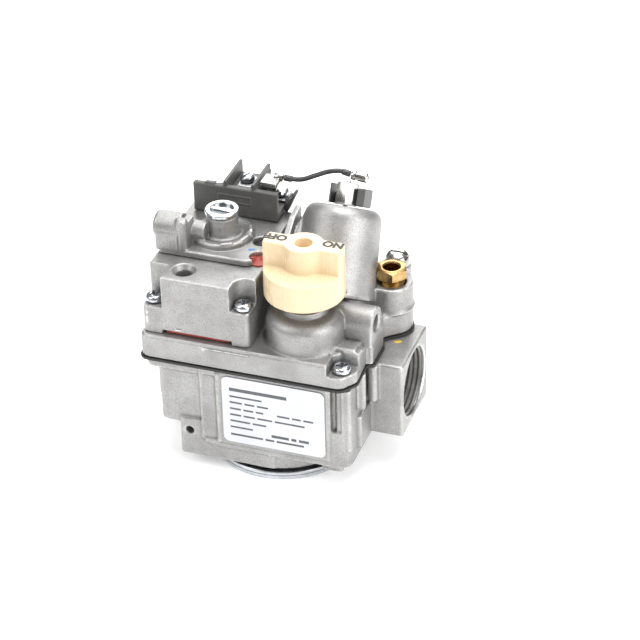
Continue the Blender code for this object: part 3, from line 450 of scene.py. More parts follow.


# Colours are linear and scales count features in a metre. An entry leaves out what is plain.
# Each finish's darkest colour is painted shade: it is laid into crevices, by an amount set per finish, and
# into the roots of a cut thread.
plainFinish = {"metallic": 0.0, "bump": 0.1, "depth": 0.00008, "wear": 0.2, "crevice": 0.4, "speckle": 0.2}
finishes = {
    "die_cast_aluminium": dict(
        dark=(0.285, 0.282, 0.278), light=(0.43, 0.427, 0.42), worn=(0.72, 0.71, 0.7),
        soot=(0.06, 0.058, 0.055), metallic=0.78, rough=(0.36, 0.56), grain=2100.0, blotch=90.0, bump=0.5,
        depth=0.00014, wear=0.85, crevice=0.8, speckle=0.5,
    ),
    "zinc_plate": dict(
        dark=(0.42, 0.44, 0.46), light=(0.62, 0.64, 0.67), worn=(0.78, 0.79, 0.81), soot=(0.16, 0.16, 0.17),
        metallic=1.0, rough=(0.14, 0.3), grain=1900.0, blotch=260.0, depth=0.00006, wear=0.4, crevice=0.35,
    ),
    "nickel_plate": dict(
        dark=(0.3, 0.295, 0.285), light=(0.48, 0.47, 0.455), worn=(0.68, 0.67, 0.65), soot=(0.14, 0.14, 0.14),
        metallic=1.0, rough=(0.14, 0.26), grain=1700.0, blotch=240.0, bump=0.06, depth=0.00005, wear=0.4,
        crevice=0.35, speckle=0.15,
    ),
    "spring_steel": dict(
        dark=(0.34, 0.34, 0.35), light=(0.52, 0.52, 0.53), worn=(0.68, 0.68, 0.69), soot=(0.09, 0.09, 0.09),
        metallic=1.0, rough=(0.24, 0.42), grain=2300.0, blotch=180.0, bump=0.12, depth=0.00006, wear=0.5,
        crevice=0.5, speckle=0.3,
    ),
    "brass": dict(
        dark=(0.3, 0.175, 0.06), light=(0.47, 0.3, 0.115), worn=(0.72, 0.53, 0.27), soot=(0.13, 0.075, 0.02),
        metallic=1.0, rough=(0.16, 0.32), grain=1900.0, blotch=210.0, bump=0.08, depth=0.00006, wear=0.5,
        crevice=0.6, speckle=0.25,
    ),
    "copper_winding": dict(
        dark=(0.3, 0.1, 0.045), light=(0.48, 0.18, 0.08), worn=(0.6, 0.28, 0.14), soot=(0.08, 0.03, 0.02),
        metallic=0.7, rough=(0.3, 0.45), grain=3000.0, blotch=300.0, bump=0.2, depth=0.0001, wear=0.4,
        crevice=0.5, speckle=0.3,
    ),
    "cream_plastic": dict(
        dark=(0.71, 0.555, 0.345), light=(0.77, 0.62, 0.405), worn=(0.82, 0.69, 0.49),
        soot=(0.62, 0.44, 0.25), rough=(0.2, 0.32), grain=1500.0, blotch=60.0, bump=0.05, wear=0.15,
        crevice=0.35, speckle=0.06,
    ),
    "dark_grey_plastic": dict(
        dark=(0.07, 0.07, 0.066), light=(0.095, 0.095, 0.09), worn=(0.13, 0.13, 0.125),
        soot=(0.02, 0.02, 0.02), rough=(0.38, 0.55), grain=2400.0, blotch=140.0, bump=0.12, depth=0.00007,
        wear=0.12,
    ),
    "red_silicone": dict(
        dark=(0.3, 0.035, 0.022), light=(0.44, 0.07, 0.045), worn=(0.55, 0.16, 0.12),
        soot=(0.12, 0.02, 0.015), rough=(0.42, 0.6), grain=1800.0, blotch=220.0,
    ),
    "black_rubber": dict(
        dark=(0.012, 0.012, 0.012), light=(0.026, 0.026, 0.026), worn=(0.06, 0.06, 0.06),
        soot=(0.006, 0.006, 0.006), rough=(0.5, 0.7), grain=2200.0, blotch=200.0, bump=0.18, speckle=0.3,
    ),
    "label_paper": dict(
        dark=(0.6, 0.62, 0.66), light=(0.68, 0.7, 0.74), worn=(0.75, 0.76, 0.78), soot=(0.6, 0.6, 0.6),
        rough=(0.28, 0.4), grain=1300.0, blotch=45.0, bump=0.04, depth=0.00005, wear=0.1, crevice=0.2,
        speckle=0.06,
    ),
    "lead_insulation": dict(
        dark=(0.02, 0.02, 0.021), light=(0.05, 0.05, 0.052), worn=(0.11, 0.11, 0.11), soot=(0.01, 0.01, 0.01),
        rough=(0.28, 0.42), grain=1500.0, blotch=260.0, bump=0.08,
    ),
    "thread_metal": dict(
        dark=(0.55, 0.54, 0.53), light=(0.75, 0.74, 0.73), worn=(0.85, 0.84, 0.83), soot=(0.13, 0.13, 0.13),
        rings=1.814, metallic=0.9, rough=(0.3, 0.42), grain=1600.0, blotch=200.0, bump=0.08, depth=0.00006,
        wear=0.3, crevice=0.0, speckle=0.1,
    ),
    "printing_ink": dict(
        dark=(0.012, 0.011, 0.01), light=(0.03, 0.028, 0.026), worn=(0.1, 0.09, 0.07),
        soot=(0.01, 0.01, 0.01), rough=(0.4, 0.55), grain=2600.0, blotch=900.0, bump=0.05, depth=0.00003,
        wear=0.0, crevice=0.0,
    ),
    "rule_grey": dict(
        dark=(0.07, 0.072, 0.08), light=(0.12, 0.125, 0.135), worn=(0.2, 0.2, 0.2), soot=(0.2, 0.2, 0.2),
        rough=(0.35, 0.5), grain=2000.0, blotch=400.0, bump=0.03, depth=0.00003, wear=0.0, crevice=0.0,
    ),
    "yellow_paint": dict(
        dark=(0.62, 0.36, 0.01), light=(0.8, 0.52, 0.03), worn=(0.85, 0.66, 0.2), soot=(0.4, 0.25, 0.02),
        rough=(0.3, 0.45), grain=1500.0, blotch=500.0, wear=0.1, crevice=0.3,
    ),
    "blue_paint": dict(
        dark=(0.02, 0.14, 0.42), light=(0.05, 0.25, 0.6), worn=(0.2, 0.4, 0.7), soot=(0.01, 0.08, 0.2),
        rough=(0.3, 0.45), grain=1500.0, blotch=500.0, wear=0.1, crevice=0.3,
    ),
}


# How far each layer of a finish goes
layers = {
    "streaks": 0.5, "wornBreaks": 6, "dust": (0.48, 0.68), "dustShade": 0.45, "roots": (0.1, 0.75),
    "streakShare": 0.35, "blotchShare": 0.65, "pitShare": 0.4,
}


def makeFinish(name, look):
    material = bpy.data.materials.new(name)
    material.use_nodes = True
    tree = material.node_tree
    shader = tree.nodes["Principled BSDF"].inputs
    grain = placed(tree, grainGroup, {"Grain Scale": look["grain"], "Blotch Scale": look["blotch"]})
    wear = placed(tree, wearAndShadeGroup, {"Break Up Scale": look["blotch"] * layers["wornBreaks"]})
    streak = placed(tree, streakGroup, {"Streak Scale": look["grain"] * layers["streaks"]})
    base = mixed(tree, grain["Blotch"], look["dark"], look["light"])
    if "rings" in look:  # painted shade: dark roots between the crests of a cut thread
        bands = tree.nodes.new("ShaderNodeTexWave")
        bands.bands_direction, bands.wave_profile = "X", "SIN"
        bands.inputs["Scale"].default_value = math.tau / (20 * look["rings"] * mm)
        feed(tree, bands.inputs["Vector"], objectPlace(tree))
        base = mixed(tree, mapped(tree, bands.outputs["Fac"], *layers["roots"]), look["soot"], base)
    dusting = mapped(tree, grain["Grain"], *layers["dust"], 0, look["speckle"])
    speckled = mixed(tree, dusting, base, tuple(layers["dustShade"] * part for part in look["dark"]))
    rubbed = mixed(tree, mapped(tree, wear["Edge"], 0, 1, 0, look["wear"]), speckled, look["worn"])
    # painted shade: crevices are darkened towards the finish's darkest colour
    creviceShadeMask = mapped(tree, wear["Crevice"], 0, 1, 0, look["crevice"])
    feed(tree, shader["Base Color"], mixed(tree, creviceShadeMask, rubbed, look["soot"]))
    blotches = mapped(tree, grain["Blotch"], 0, 1, 0, layers["blotchShare"])
    spread = worked(tree, "MULTIPLY_ADD", streak["Streak"], layers["streakShare"], blotches)
    feed(tree, shader["Roughness"], mapped(tree, spread, 0, 1, *look["rough"]))
    shader["Metallic"].default_value = look["metallic"]
    pits = mapped(tree, grain["Pits"], 0, 1, 0, layers["pitShare"])
    bump = tree.nodes.new("ShaderNodeBump")
    bump.inputs["Strength"].default_value, bump.inputs["Distance"].default_value = look["bump"], look["depth"]
    feed(tree, bump.inputs["Height"], worked(tree, "ADD", grain["Grain"], pits))
    feed(tree, shader["Normal"], bump.outputs["Normal"])
    return material


materials = {name: makeFinish(name, {**plainFinish, **look}) for name, look in finishes.items()}
slotOf = {part["node"]: part["material_slot"] for part in frame["record"]["subparts"]}
for node, thing in frame["nodes"].items():  # the CAD nodes that stay in view get their slot's finish
    for holder in (thing, *thing.children):
        if holder.type == "MESH":
            holder.data.materials.clear()
            holder.data.materials.append(materials[slotOf[node]])
print("finishes are made")


# Places that several pieces share, all from the frame

fits = {"gap": 0.3, "bushingProud": 1.4, "pilotStand": 6.6, "coverPlate": 2.4, "magnetReach": 4.75}
knobLow, knobHigh = nodeBox("knob")
knobAt = nodeMiddle("knob")
bossTop = nodeBox("stem_bushing")[1].z - fits["bushingProud"]
housingLow, housingHigh = nodeBox("operator_housing")
flangeTop = housingLow.z - fits["gap"]
gasketLow, gasketHigh = nodeBox("body_gasket")
flangeLow, bodyTop = gasketHigh.z + fits["gap"], gasketLow.z - fits["gap"]
pilotAt = nodeMiddle("pilot_fitting")
pilotTop = nodeBox("pilot_fitting")[0].z + fits["pilotStand"]
screenAt = nodeMiddle("inlet_screen")
plateTop = nodeBox("regulator_cover")[0].z + fits["coverPlate"]
regulatorAt = nodeMiddle("regulator_cap")
capLow, capHigh = nodeBox("regulator_cap")
adjusterAt = nodeMiddle("pilot_adjuster")
coverHigh = nodeBox("bottom_cover")[1]
lowerLow, lowerHigh = nodeBox("lower_body")
plugAt = nodeMiddle("tap_plug")
liftAxis = Vector(next(joint["axis"] for joint in frame["joints"] if joint["name"] == "safety_lift"))
magnetTop = nodeMiddle("lead_stud") - liftAxis * fits["magnetReach"]
leanBack = shift(magnetTop) @ Matrix.Rotation(-math.atan2(liftAxis.y, liftAxis.z), 4, "X")
alongX = turnAbout("Y", 90)
tabSides = ("left", "middle", "right")
print("shared places are read")


# Lower casting

lower = {
    "voxel": 0.45, "soften": 3, "most": 150000,
    "columnRadius": 2.5, "columnAt": (33.7, -25.6), "columnLow": 16.5,
    "flutes": ((36.6, -14.2, 1.5), (38.9, -7.6, 1.9)), "fluteLow": 30.0,
    "skirtInset": 0.85, "skirtRise": (1.4, 10),
    "threadRadius": 13.4, "threadPitch": 1.814, "threadDepth": 1.25, "threadLength": 18.0, "threadTaper": 32,
    "brightRing": 0.75, "brightDepth": 19, "channel": ((-22.3, -31.0, 14.5), (-16.9, -28.6, 44.2), 0.4),
    "slabs": {  # the two corners and the rounding of each
        "foot": ((22.0, -21.6, 4.2), (30.6, -18.4, 14.0), 1.2),
        "columnWall": ((30.6, -28.0, 19.5), (36.4, -20.0, bodyTop), 1.2),
        "sideStep": ((34.0, -18.5, 15.0), (37.4, -2.0, 29.0), 0.8),
        "sideRib0": ((34.0, 14.0, 15.0), (37.0, 15.6, 44.0), 0.5),
        "sideRib1": ((34.0, 23.0, 15.0), (37.0, 24.6, 44.0), 0.5),
        "leftRib": ((-23.6, -28.9, 14.0), (-22.2, -20.0, bodyTop), 0.4),
        "labelRib": ((-16.7, -30.2, 14.6), (-15.1, -20.0, 45.4), 0.5),
        "backPad": ((-18.0, 30.0, 16.0), (22.0, 37.8, 40.0), 2.0),
    },
}


def threadCutter(name, matrix):  # one groove for each turn, on the taper that a pipe thread has
    radius, pitch, half = lower["threadRadius"], lower["threadPitch"], lower["threadDepth"] * 0.5
    depth = 0.7
    profile = [(radius + 1.0, 1.0), (radius + 0.9, -0.1), (radius - 0.1, -depth)]
    while depth < lower["threadLength"]:
        middle = radius - 0.25 - depth / lower["threadTaper"]
        profile += [(middle - half, -depth - 0.25), (middle + half, -depth - pitch * 0.55)]
        profile += [(middle - half, -depth - pitch)]
        depth += pitch
    profile.append((radius - 3.0, -depth - 1.6))
    return turned(name, profile, matrix, 96)


def makeLowerCasting():
    piece = copyNode("lower_body", "lowerCasting")
    radius, low = lower["columnRadius"], lower["columnLow"]
    toe = arcPoints((0, low + radius), radius, -70, 0, 8)
    parts = [turned("column", toe + [(radius, bodyTop)], shift((*lower["columnAt"], 0)))]
    low = lower["fluteLow"]
    for number, (x, y, radius) in enumerate(lower["flutes"]):
        flute = [(radius * 0.5, low), (radius, low + 1.5), (radius, bodyTop)]
        parts.append(turned(f"flute{number}", flute, shift((x, y, 0))))
    radius = coverHigh.x - lower["skirtInset"]
    parts.append(turned("skirt", [(radius, coverHigh.z + rise) for rise in lower["skirtRise"]], sides=128))
    parts += [slab(name, *shape) for name, shape in lower["slabs"].items()]
    boolean(piece, slab("ribChannel", *lower["channel"]))
    castSkin(piece, parts, lower)
    for name, mouth, degrees in (("threadRight", lowerHigh.x, 90), ("threadLeft", lowerLow.x, -90)):
        boolean(piece, threadCutter(name, shift((mouth, screenAt.y, screenAt.z)) @ turnAbout("Y", degrees)))
    keep(piece, "body", ["lower_body"], "die_cast_aluminium")
    piece.data.materials.append(materials["thread_metal"])
    reach, deepest = lower["threadRadius"] + lower["brightRing"], lowerHigh.x - lower["brightDepth"]
    for face in piece.data.polygons:  # the cut thread is bright metal
        at = face.center / mm
        if math.hypot(at.y - screenAt.y, at.z - screenAt.z) < reach and abs(at.x) > deepest:
            face.material_index = 1


# Upper casting, with the cock's boss, the magnet's housing and the two side bosses

upper = {
    "voxel": 0.42, "soften": 3, "most": 195000, "bossRadius": 15.05, "bossCorner": 4.5, "neckRadius": 8.45,
    "housingRadius": 14.82, "housingCorner": 4.6, "housingFlare": 1.6, "housingLength": 33.0,
    "pilotRadius": 8.25, "portRadius": 6.45, "portFace": 39.5, "portHole": 3.5, "sleeveRadius": 3.2,
    "cockRoom": 0.4, "stemHole": 4.9, "magnetBore": 8.8, "valveBore": 6.2, "studBore": 3.4, "pilotBore": 5.6,
    "shankBore": 2.5, "headBore": (5.3, 5.0), "press": 3.5, "knobRoom": 0.8,
    "leverRoom": ((7.0, -22.0), (27.0, 10.0), 9.6), "cornerPad": ((31.0, -19.6), (37.6, -15.4), 0.8),
    "dieLine": {"x": (-21.0, -3.0), "z": (56.0, 56.35), "proud": 0.2},
}


def upperBores():  # the rooms for the cock, the lever, the magnet and the pressed knob
    low, high, lid = *upper["leverRoom"][:2], flangeLow + upper["leverRoom"][2]
    plugLow, plugHigh = nodeBox("cock_plug")
    cock = (plugHigh.x - plugLow.x) / 2 + upper["cockRoom"]
    press = (knobHigh.x - knobLow.x) / 2 + upper["knobRoom"]
    wide, slim = upper["headBore"]
    rooms = [slab("leverRoom", (*low, flangeLow - 1), (*high, lid))]
    for name, at, radius, start, end in (
        ("cockRoom", upright(knobAt), cock, lid - 1, bossTop - 5),
        ("sealRoom", upright(knobAt), upper["stemHole"], bossTop - 6, bossTop + 3),
        ("magnetRoom", leanBack, upper["magnetBore"], -26, -3),
        ("valveRoom", leanBack, upper["valveBore"], -46, -25),
        ("studRoom", leanBack, upper["studBore"], -4, 1),
        ("pilotRoom", upright(pilotAt, pilotTop), upper["pilotBore"], -7.5, 1),
        ("shankRoom", upright(adjusterAt, pilotTop), upper["shankBore"], -9, 1),
    ):
        rooms.append(turned(name, [(radius, start), (radius, end)], at, 48))
    rooms.append(turned("screwRoom", [(wide, 0), (slim, 30)], upright(adjusterAt, pilotTop), 48))
    low, high = knobLow.z - upper["press"] - 0.7, knobHigh.z + 9
    rooms.append(turned("knobRoom", [(press, low), (press, high)], upright(knobAt), 96))
    return rooms


def makeUpperCasting():
    piece = copyNode("upper_body", "upperCasting")
    radius, corner, neck = upper["bossRadius"], upper["bossCorner"], upper["neckRadius"]
    boss = [(radius + 1.2, flangeTop - 1), (radius + 0.35, flangeTop + 0.8), (radius, flangeTop + 2.2)]
    boss += arcPoints((radius - corner, bossTop - corner), corner, 0, 90, 10)
    collar = [(neck + 1.4, bossTop - 1), (neck + 0.3, bossTop + 0.3)]
    collar += [(neck, bossTop + 1.2), (neck, bossTop + 2.2)]
    radius, corner = upper["housingRadius"], upper["housingCorner"]
    housing = [(radius + upper["housingFlare"], -upper["housingLength"])]
    housing += arcPoints((radius - corner, -corner), corner, 0, 90, 10)
    radius = upper["pilotRadius"]
    pilotBoss = [(radius + 0.9, flangeTop - 0.6), (radius, flangeTop + 1.4)]
    pilotBoss += [(radius, pilotTop - 0.5), (radius - 0.4, pilotTop)]
    radius, face = upper["portRadius"], upper["portFace"]
    port = [(radius, 16.0), (radius, face - 0.7), (radius - 0.6, face)]
    sleeve = [(upper["sleeveRadius"], flangeTop - 1), (upper["sleeveRadius"], pilotTop)]
    low, high, corner = upper["cornerPad"]
    parts = [
        turned("boss", boss, upright(knobAt), 96), turned("neck", collar, upright(knobAt)),
        turned("housing", housing, leanBack, 96), turned("pilotBoss", pilotBoss, upright(pilotAt)),
        turned("portBoss", port, shift((0, plugAt.y, plugAt.z)) @ alongX),
        turned("screwSleeve", sleeve, upright(adjusterAt), 48),
        slab("cornerPad", (*low, flangeTop - 1), (*high, flangeTop + 0.9), corner),
    ]
    radius = upper["portHole"]
    plug = [(radius + 0.5, 1.0), (radius + 0.5, 0.01), (radius, -0.5), (radius, -9.0), (radius - 1.0, -12.0)]
    stem = [(upper["stemHole"], bossTop - 4.0), (upper["stemHole"], bossTop + 3.0)]
    holes = [
        turned("plugHole", plug, shift((face, plugAt.y, plugAt.z)) @ alongX, 48),
        turned("stemHole", stem, upright(knobAt), 64),
    ]
    castSkin(piece, parts, upper, upperBores())
    for hole in holes:
        boolean(piece, hole)
    line, front = upper["dieLine"], gasketLow.y + 0.5  # the flange's front face
    (left, right), (low, high) = line["x"], line["z"]
    boolean(piece, slab("dieLine", (left, front - line["proud"], low), (right, front + 0.6, high)), "UNION")
    keep(piece, "body", ["upper_body"], "die_cast_aluminium")


# Operator housing and the regulator's cover above it

operator = {
    "voxel": 0.36, "soften": 3, "most": 110000,
    "lineX": (-33.0, -30.2), "lineRise": (2.5, 3.0), "proud": 0.2,
}
regulator = {
    "voxel": 0.3, "soften": 3, "most": 150000, "discRadius": 11.85, "discHeight": 2.4, "towerRadius": 6.15,
    "ventRadius": 5.35, "ventX": (-47.4, -36.8), "ventY": -5.2, "ventRise": 7.2, "ribs": 9,
    "padTurns": (-62, -18, 24), "pits": ((-9.0, 5.0), (-6.4, -5.6)), "pitRadius": 3.5,
}


def makeOperatorCasting():
    piece = copyNode("operator_housing", "operatorCasting")
    castSkin(piece, [], operator)
    front, low = housingLow.y, housingLow.z
    (left, right), (start, end) = operator["lineX"], operator["lineRise"]
    line = slab("dieLine", (left, front - operator["proud"], low + start), (right, front + 0.6, low + end))
    boolean(piece, line, "UNION")
    keep(piece, "body", ["operator_housing"], "die_cast_aluminium")


def makeRegulatorCasting():
    piece = copyNode("regulator_cover", "regulatorCasting")
    at = upright(regulatorAt)
    top = plateTop + regulator["discHeight"]
    wide, slim = regulator["discRadius"], regulator["towerRadius"]
    disc = [(wide + 0.5, plateTop - 0.3), (wide, plateTop + 0.5), (wide, top - 0.6), (wide - 0.6, top),
            (wide - 2.2, top), (slim + 1.9, top - 1.0), (slim + 0.3, top - 0.5), (slim, top + 0.4),
            (slim, capLow.z - 0.3)]
    parts = [turned("disc", disc, at, 96)]
    radius, rise = regulator["ventRadius"], plateTop + regulator["ventRise"]
    outer, inner = regulator["ventX"]
    barrel = [(radius - 1.3, outer), (radius - 0.4, outer + 0.4), (radius, outer + 1.4), (radius, inner)]
    axis = shift((0, regulator["ventY"], rise)) @ alongX
    parts.append(turned("vent", barrel, axis, 72))
    for number in range(regulator["ribs"]):
        x = outer + 1.9 + number * (inner - outer - 2.6) / (regulator["ribs"] - 1)
        y = regulator["ventY"] - radius + 0.05
        low, high = (x - 0.3, y - 0.28, plateTop - 0.4), (x + 0.3, y + 0.8, rise - 0.6)
        parts.append(slab(f"rib{number}", low, high))
    for number, degrees in enumerate(regulator["padTurns"]):
        pad = slab(f"pad{number}", (wide - 1.9, -2.2, top - 0.5), (wide - 0.5, 2.2, top + 0.45), 0.5)
        parts.append(place(pad, at @ turnAbout("Z", degrees)))
    castSkin(piece, parts, regulator)
    wall = regulator["pitRadius"]
    for number, (x, y) in enumerate(regulator["pits"]):
        pit = [(wall - 0.02, plateTop - 3), (wall - 0.02, plateTop - 0.35), (wall + 0.35, plateTop + 0.05),
               (wall + 0.35, plateTop + 2)]
        boolean(piece, turned(f"pit{number}", pit, shift((x, y, 0)), 48))
    keep(piece, "body", ["regulator_cover"], "die_cast_aluminium")


wax = {
    "names": ("sealBlack", "sealRed"), "finishes": ("black_rubber", "red_silicone"),
    "radius": 3.42, "rise": 1.5, "shape": ((1, 0), (1, 0.4), (0.8, 0.55), (0.5, 1), (0.42, 0.8)),
}


def makeWax():  # sealing wax in the two deep holes
    radius, rise, low = wax["radius"], wax["rise"], housingHigh.z + 0.02
    profile = [(radius * wide, low + rise * tall) for wide, tall in wax["shape"]] + [(0.3, low + 0.5)]
    slots = ("black_rubber", slotOf["operator_gasket"])
    for name, slot, finish, (x, y) in zip(wax["names"], slots, wax["finishes"], regulator["pits"]):
        keep(turned(name, profile, shift((x, y, 0)), 40), "body", [], slot, finish, 60)


cap = {
    "neck": 3.9, "head": 1.8, "corner": 0.45, "recess": 4.4, "recessDepth": 1.2,
    "gripHalf": 0.95, "gripTurn": -4,
}


def makeRegulatorCap():
    radius, low, high = (capHigh.x - capLow.x) / 2, capHigh.z - cap["head"], capHigh.z
    corner, recess = cap["corner"], cap["recess"]
    profile = [(cap["neck"], capLow.z), (cap["neck"], low), (radius - corner, low), (radius, low + corner)]
    profile += arcPoints((radius - corner, high - corner), corner, 0, 90, 6)
    profile += [(recess + 0.3, high), (recess, high - 0.3), (recess, high - cap["recessDepth"])]
    at = upright(regulatorAt)
    piece = turned("regulatorCapPlated", profile, at, 96)
    half = cap["gripHalf"]
    grip = slab("grip", (-recess - 0.2, -half, high - 1.6), (recess + 0.2, half, high - 0.12), 0, 0.3, 3)
    boolean(piece, place(grip, at @ turnAbout("Z", cap["gripTurn"])), "UNION")
    keep(piece, "body", ["regulator_cap"], "zinc_plate")


# Screws

panHead = {
    "crown": 2.4, "shankRadius": 1.85, "pitch": 0.8,
    "recessWidth": 0.95, "recessSpan": 2.25, "recessDepth": 1.5,
    "body": (3.5, 12.0), "terminal": (2.8, 3.4),  # the head's radius and the shank's length
    "bodyTurns": (23, 67), "terminalTurns": (15, 50),  # the first screw's turn and the step to each next
}


def screwShape(name, radius, length, slotOnly=False):  # stands on the zero plane, head up
    crown, shank = panHead["crown"], panHead["shankRadius"]
    low, pitch = 0.6 - length, panHead["pitch"]
    profile = [(shank - 0.6, -length), (shank - 0.25, low)] + ridges(shank, 0.35, pitch, low, -pitch - 0.4)
    profile += [(shank - 0.3, -0.05), (radius - 0.25, 0.0), (radius, 0.25), (radius, crown * 0.38)]
    profile += arcPoints((radius - 1.5, crown * 0.4), 1.5, 8, 72, 6)
    profile += [(radius * 0.45, crown * 0.4 + 1.54), (radius * 0.12, crown * 0.4 + 1.56)]
    piece = turned(name, profile, sides=64)
    high = crown * 0.4 + 1.6
    half, span = panHead["recessWidth"] / 2, panHead["recessSpan"]
    reach = radius * 1.2 if slotOnly else span
    for turn in (0,) if slotOnly else (0, 90):
        tool = slab(f"recess{turn}", (-reach, -half, high - panHead["recessDepth"]), (reach, half, high + 1))
        boolean(piece, place(tool, turnAbout("Z", turn)))
    if not slotOnly:
        well = turned("well", [(0.35, high - 2.2), (1.25, high - 0.5), (1.5, high + 0.6)], sides=24)
        boolean(piece, well)
    return piece


def setScrews(model, turns, names):
    for number, (node, name) in enumerate(names):
        low, high = nodeBox(node)
        piece = copyOf(model.data, name)
        turn = turnAbout("Z", turns[0] + turns[1] * number)
        place(piece, upright((low + high) / 2, high.z - panHead["crown"]) @ turn)
        keep(piece, "body", [node], "zinc_plate")
    bpy.data.objects.remove(model, do_unlink=True)


def makeScrews():
    nodes = sorted(node for node in frame["nodes"] if node.startswith(("operator_screw", "body_screw")))
    names = [(node, "plated" + node.title().replace("_", "")) for node in nodes]
    setScrews(screwShape("panScrewModel", *panHead["body"]), panHead["bodyTurns"], names)
    names = [(f"terminal_screw_{side}", f"terminalScrew{side.title()}") for side in tabSides]
    setScrews(screwShape("terminalScrewModel", *panHead["terminal"], True), panHead["terminalTurns"], names)


# Pilot outlet and its adjusting screw

pilot = {
    "across": 11.0, "turn": 20, "nutLow": 2.2, "nutHigh": 6.2, "bore": 3.15,
    "collar": 5.0, "collarLow": -6.0, "pitch": 0.75,
}
adjuster = {"radius": 4.85, "dome": 5.2, "slotHalf": 0.5, "slotDepth": 1.2}


def makePilotFitting():
    across, low, high, collar = (pilot[part] for part in ("across", "nutLow", "nutHigh", "collar"))
    radius, flat = across / math.sqrt(3) + 0.2, across / 2
    lathe = [(flat - 0.2, low - 0.2), (flat + 0.1, low), (radius, low + 0.45), (radius, high - 0.5)]
    lathe += [(flat + 0.1, high), (flat - 0.5, high + 0.02)]
    piece = hexNut("pilotNut", across, low, high, 30, lathe)
    foot = pilot["collarLow"]
    profile = [(collar - 0.5, foot - 0.4), (collar - 0.3, foot)]
    profile += ridges(collar, 0.42, pilot["pitch"], foot, low - 0.4) + [(collar - 0.5, low + 0.6)]
    boolean(piece, turned("collar", profile, sides=64), "UNION")
    wall = pilot["bore"]
    bore = [(wall - 1.5, -7.5), (wall - 1.5, -3.0), (wall, -2.9), (wall, high - 0.5), (wall + 0.5, high)]
    boolean(piece, turned("bore", bore + [(wall + 0.7, high + 1)], sides=64))
    place(piece, upright(pilotAt, pilotTop) @ turnAbout("Z", pilot["turn"] - 30))
    keep(piece, "body", ["pilot_fitting"], "brass", smooth=30)


def makePilotAdjuster():
    radius, dome = adjuster["radius"], adjuster["dome"]
    profile = [(2.2, -6.2), (2.2, 0.2), (radius - 0.2, 0.3), (radius, 0.5), (radius, dome - 2.8)]
    profile += arcPoints((radius - 3.2, dome - 2.8), 3.2, 6, 76, 10)
    profile += [(radius * 0.25, dome + 0.42), (radius * 0.05, dome + 0.44)]
    piece = turned("pilotScrew", profile, sides=80)
    half = adjuster["slotHalf"]
    boolean(piece, slab("slot", (-6, -half, dome - adjuster["slotDepth"] + 0.3), (6, half, dome + 2)))
    softEdges(piece, 0.08, 50)
    place(piece, upright(adjusterAt, pilotTop))
    keep(piece, "pilot_adjuster", ["pilot_adjuster"], "nickel_plate")


# Knob

knob = {
    "voxel": 0.25, "soften": 4, "most": 130000, "letter": 5.0, "letterRise": 0.09, "bold": 0.26,
    "words": {"OFF": (-11.1, 0.9, 180), "ON": (11.0, 1.2, 0)},  # from the knob's middle, and the turn
}


def makeKnob():
    piece = copyNode("knob", "knobMoulding")
    castSkin(piece, [], knob)
    keep(piece, "knob", ["knob"], "cream_plastic", smooth=50)
    for word, (x, y, degrees) in knob["words"].items():
        settle()
        bpy.ops.object.text_add()
        letters = bpy.context.active_object
        letters.data.body, letters.data.size = word, knob["letter"] * mm
        letters.data.align_x, letters.data.align_y = "CENTER", "CENTER"
        letters.data.extrude, letters.data.resolution_u = knob["letterRise"] * mm, 6
        letters.data.offset = knob["bold"] * mm
        pick(letters)
        bpy.ops.object.convert(target="MESH")
        letters = bpy.context.active_object
        spot = shift((knobAt.x + x, knobAt.y + y, knobHigh.z))
        letters.name = letters.data.name = f"letters{word.title()}"
        outward(letters, 0.0001)
        place(letters, spot @ turnAbout("Z", degrees))
        keep(letters, "knob", [], "cream_plastic", "printing_ink")


# Terminal block and its metal parts

terminal = {"voxel": 0.21, "soften": 2, "most": 90000, "outline": (-31.8, -18.5, 91.3, 94.6), "line": 0.35}


def makeTerminalBlock():
    piece = copyNode("terminal_block", "terminalMoulding")
    left, right, low, high = terminal["outline"]
    front = nodeBox("terminal_block")[0].y
    line = terminal["line"]
    parts = [
        slab("outline", (start, front - 0.3, foot), (end, front + 0.5, top))
        for start, foot, end, top in (
            (left, low, right, low + line), (left, high - line, right, high),
            (left, low, left + line, high), (right - line, low, right, high),
        )
    ]
    castSkin(piece, parts, terminal)
    keep(piece, "body", ["terminal_block"], "dark_grey_plastic", smooth=50)


def makeTerminalMetal():
    plates = [(f"terminal_tab_{side}", f"terminalPlate{side.title()}") for side in tabSides]
    for node, name, slot, finish, edge in (
        *((*plate, "spring_steel", None, 0.08) for plate in plates),
        ("wire_lug", "crimpLug", "spring_steel", "nickel_plate", 0.1),
        ("wire_clip", "wireClip", "dark_grey_plastic", None, 0.15),
    ):
        keep(softEdges(copyNode(node, name), edge), "body", [node], slot, finish)


# Magnet's nut, stud, insulator and the jumper lead

magnet = {"across": 8.0, "turn": 14, "nutLow": 0.3, "nutHigh": 9.0, "stud": 1.1, "studTop": 9.9, "pitch": 0.5}
lead = {
    "radius": 0.98, "start": (-8.2, 28.8, 100.0), "sleeve": 1.25, "sleeveLength": 3.4, "crimp": 1.9,
    "crimpLength": 6.6, "crimpTurn": 96, "above": (0.6, 0.0, 12.2),
    "route": ((3.0, 0.2, -0.2), (7.0, 0.6, 0.1), (12.0, 1.2, 2.2), (17.6, 2.2, 4.4)),
    "arrival": ((-4.0, -0.2, 1.0), (-0.4, 0.0, 0.1)),
}


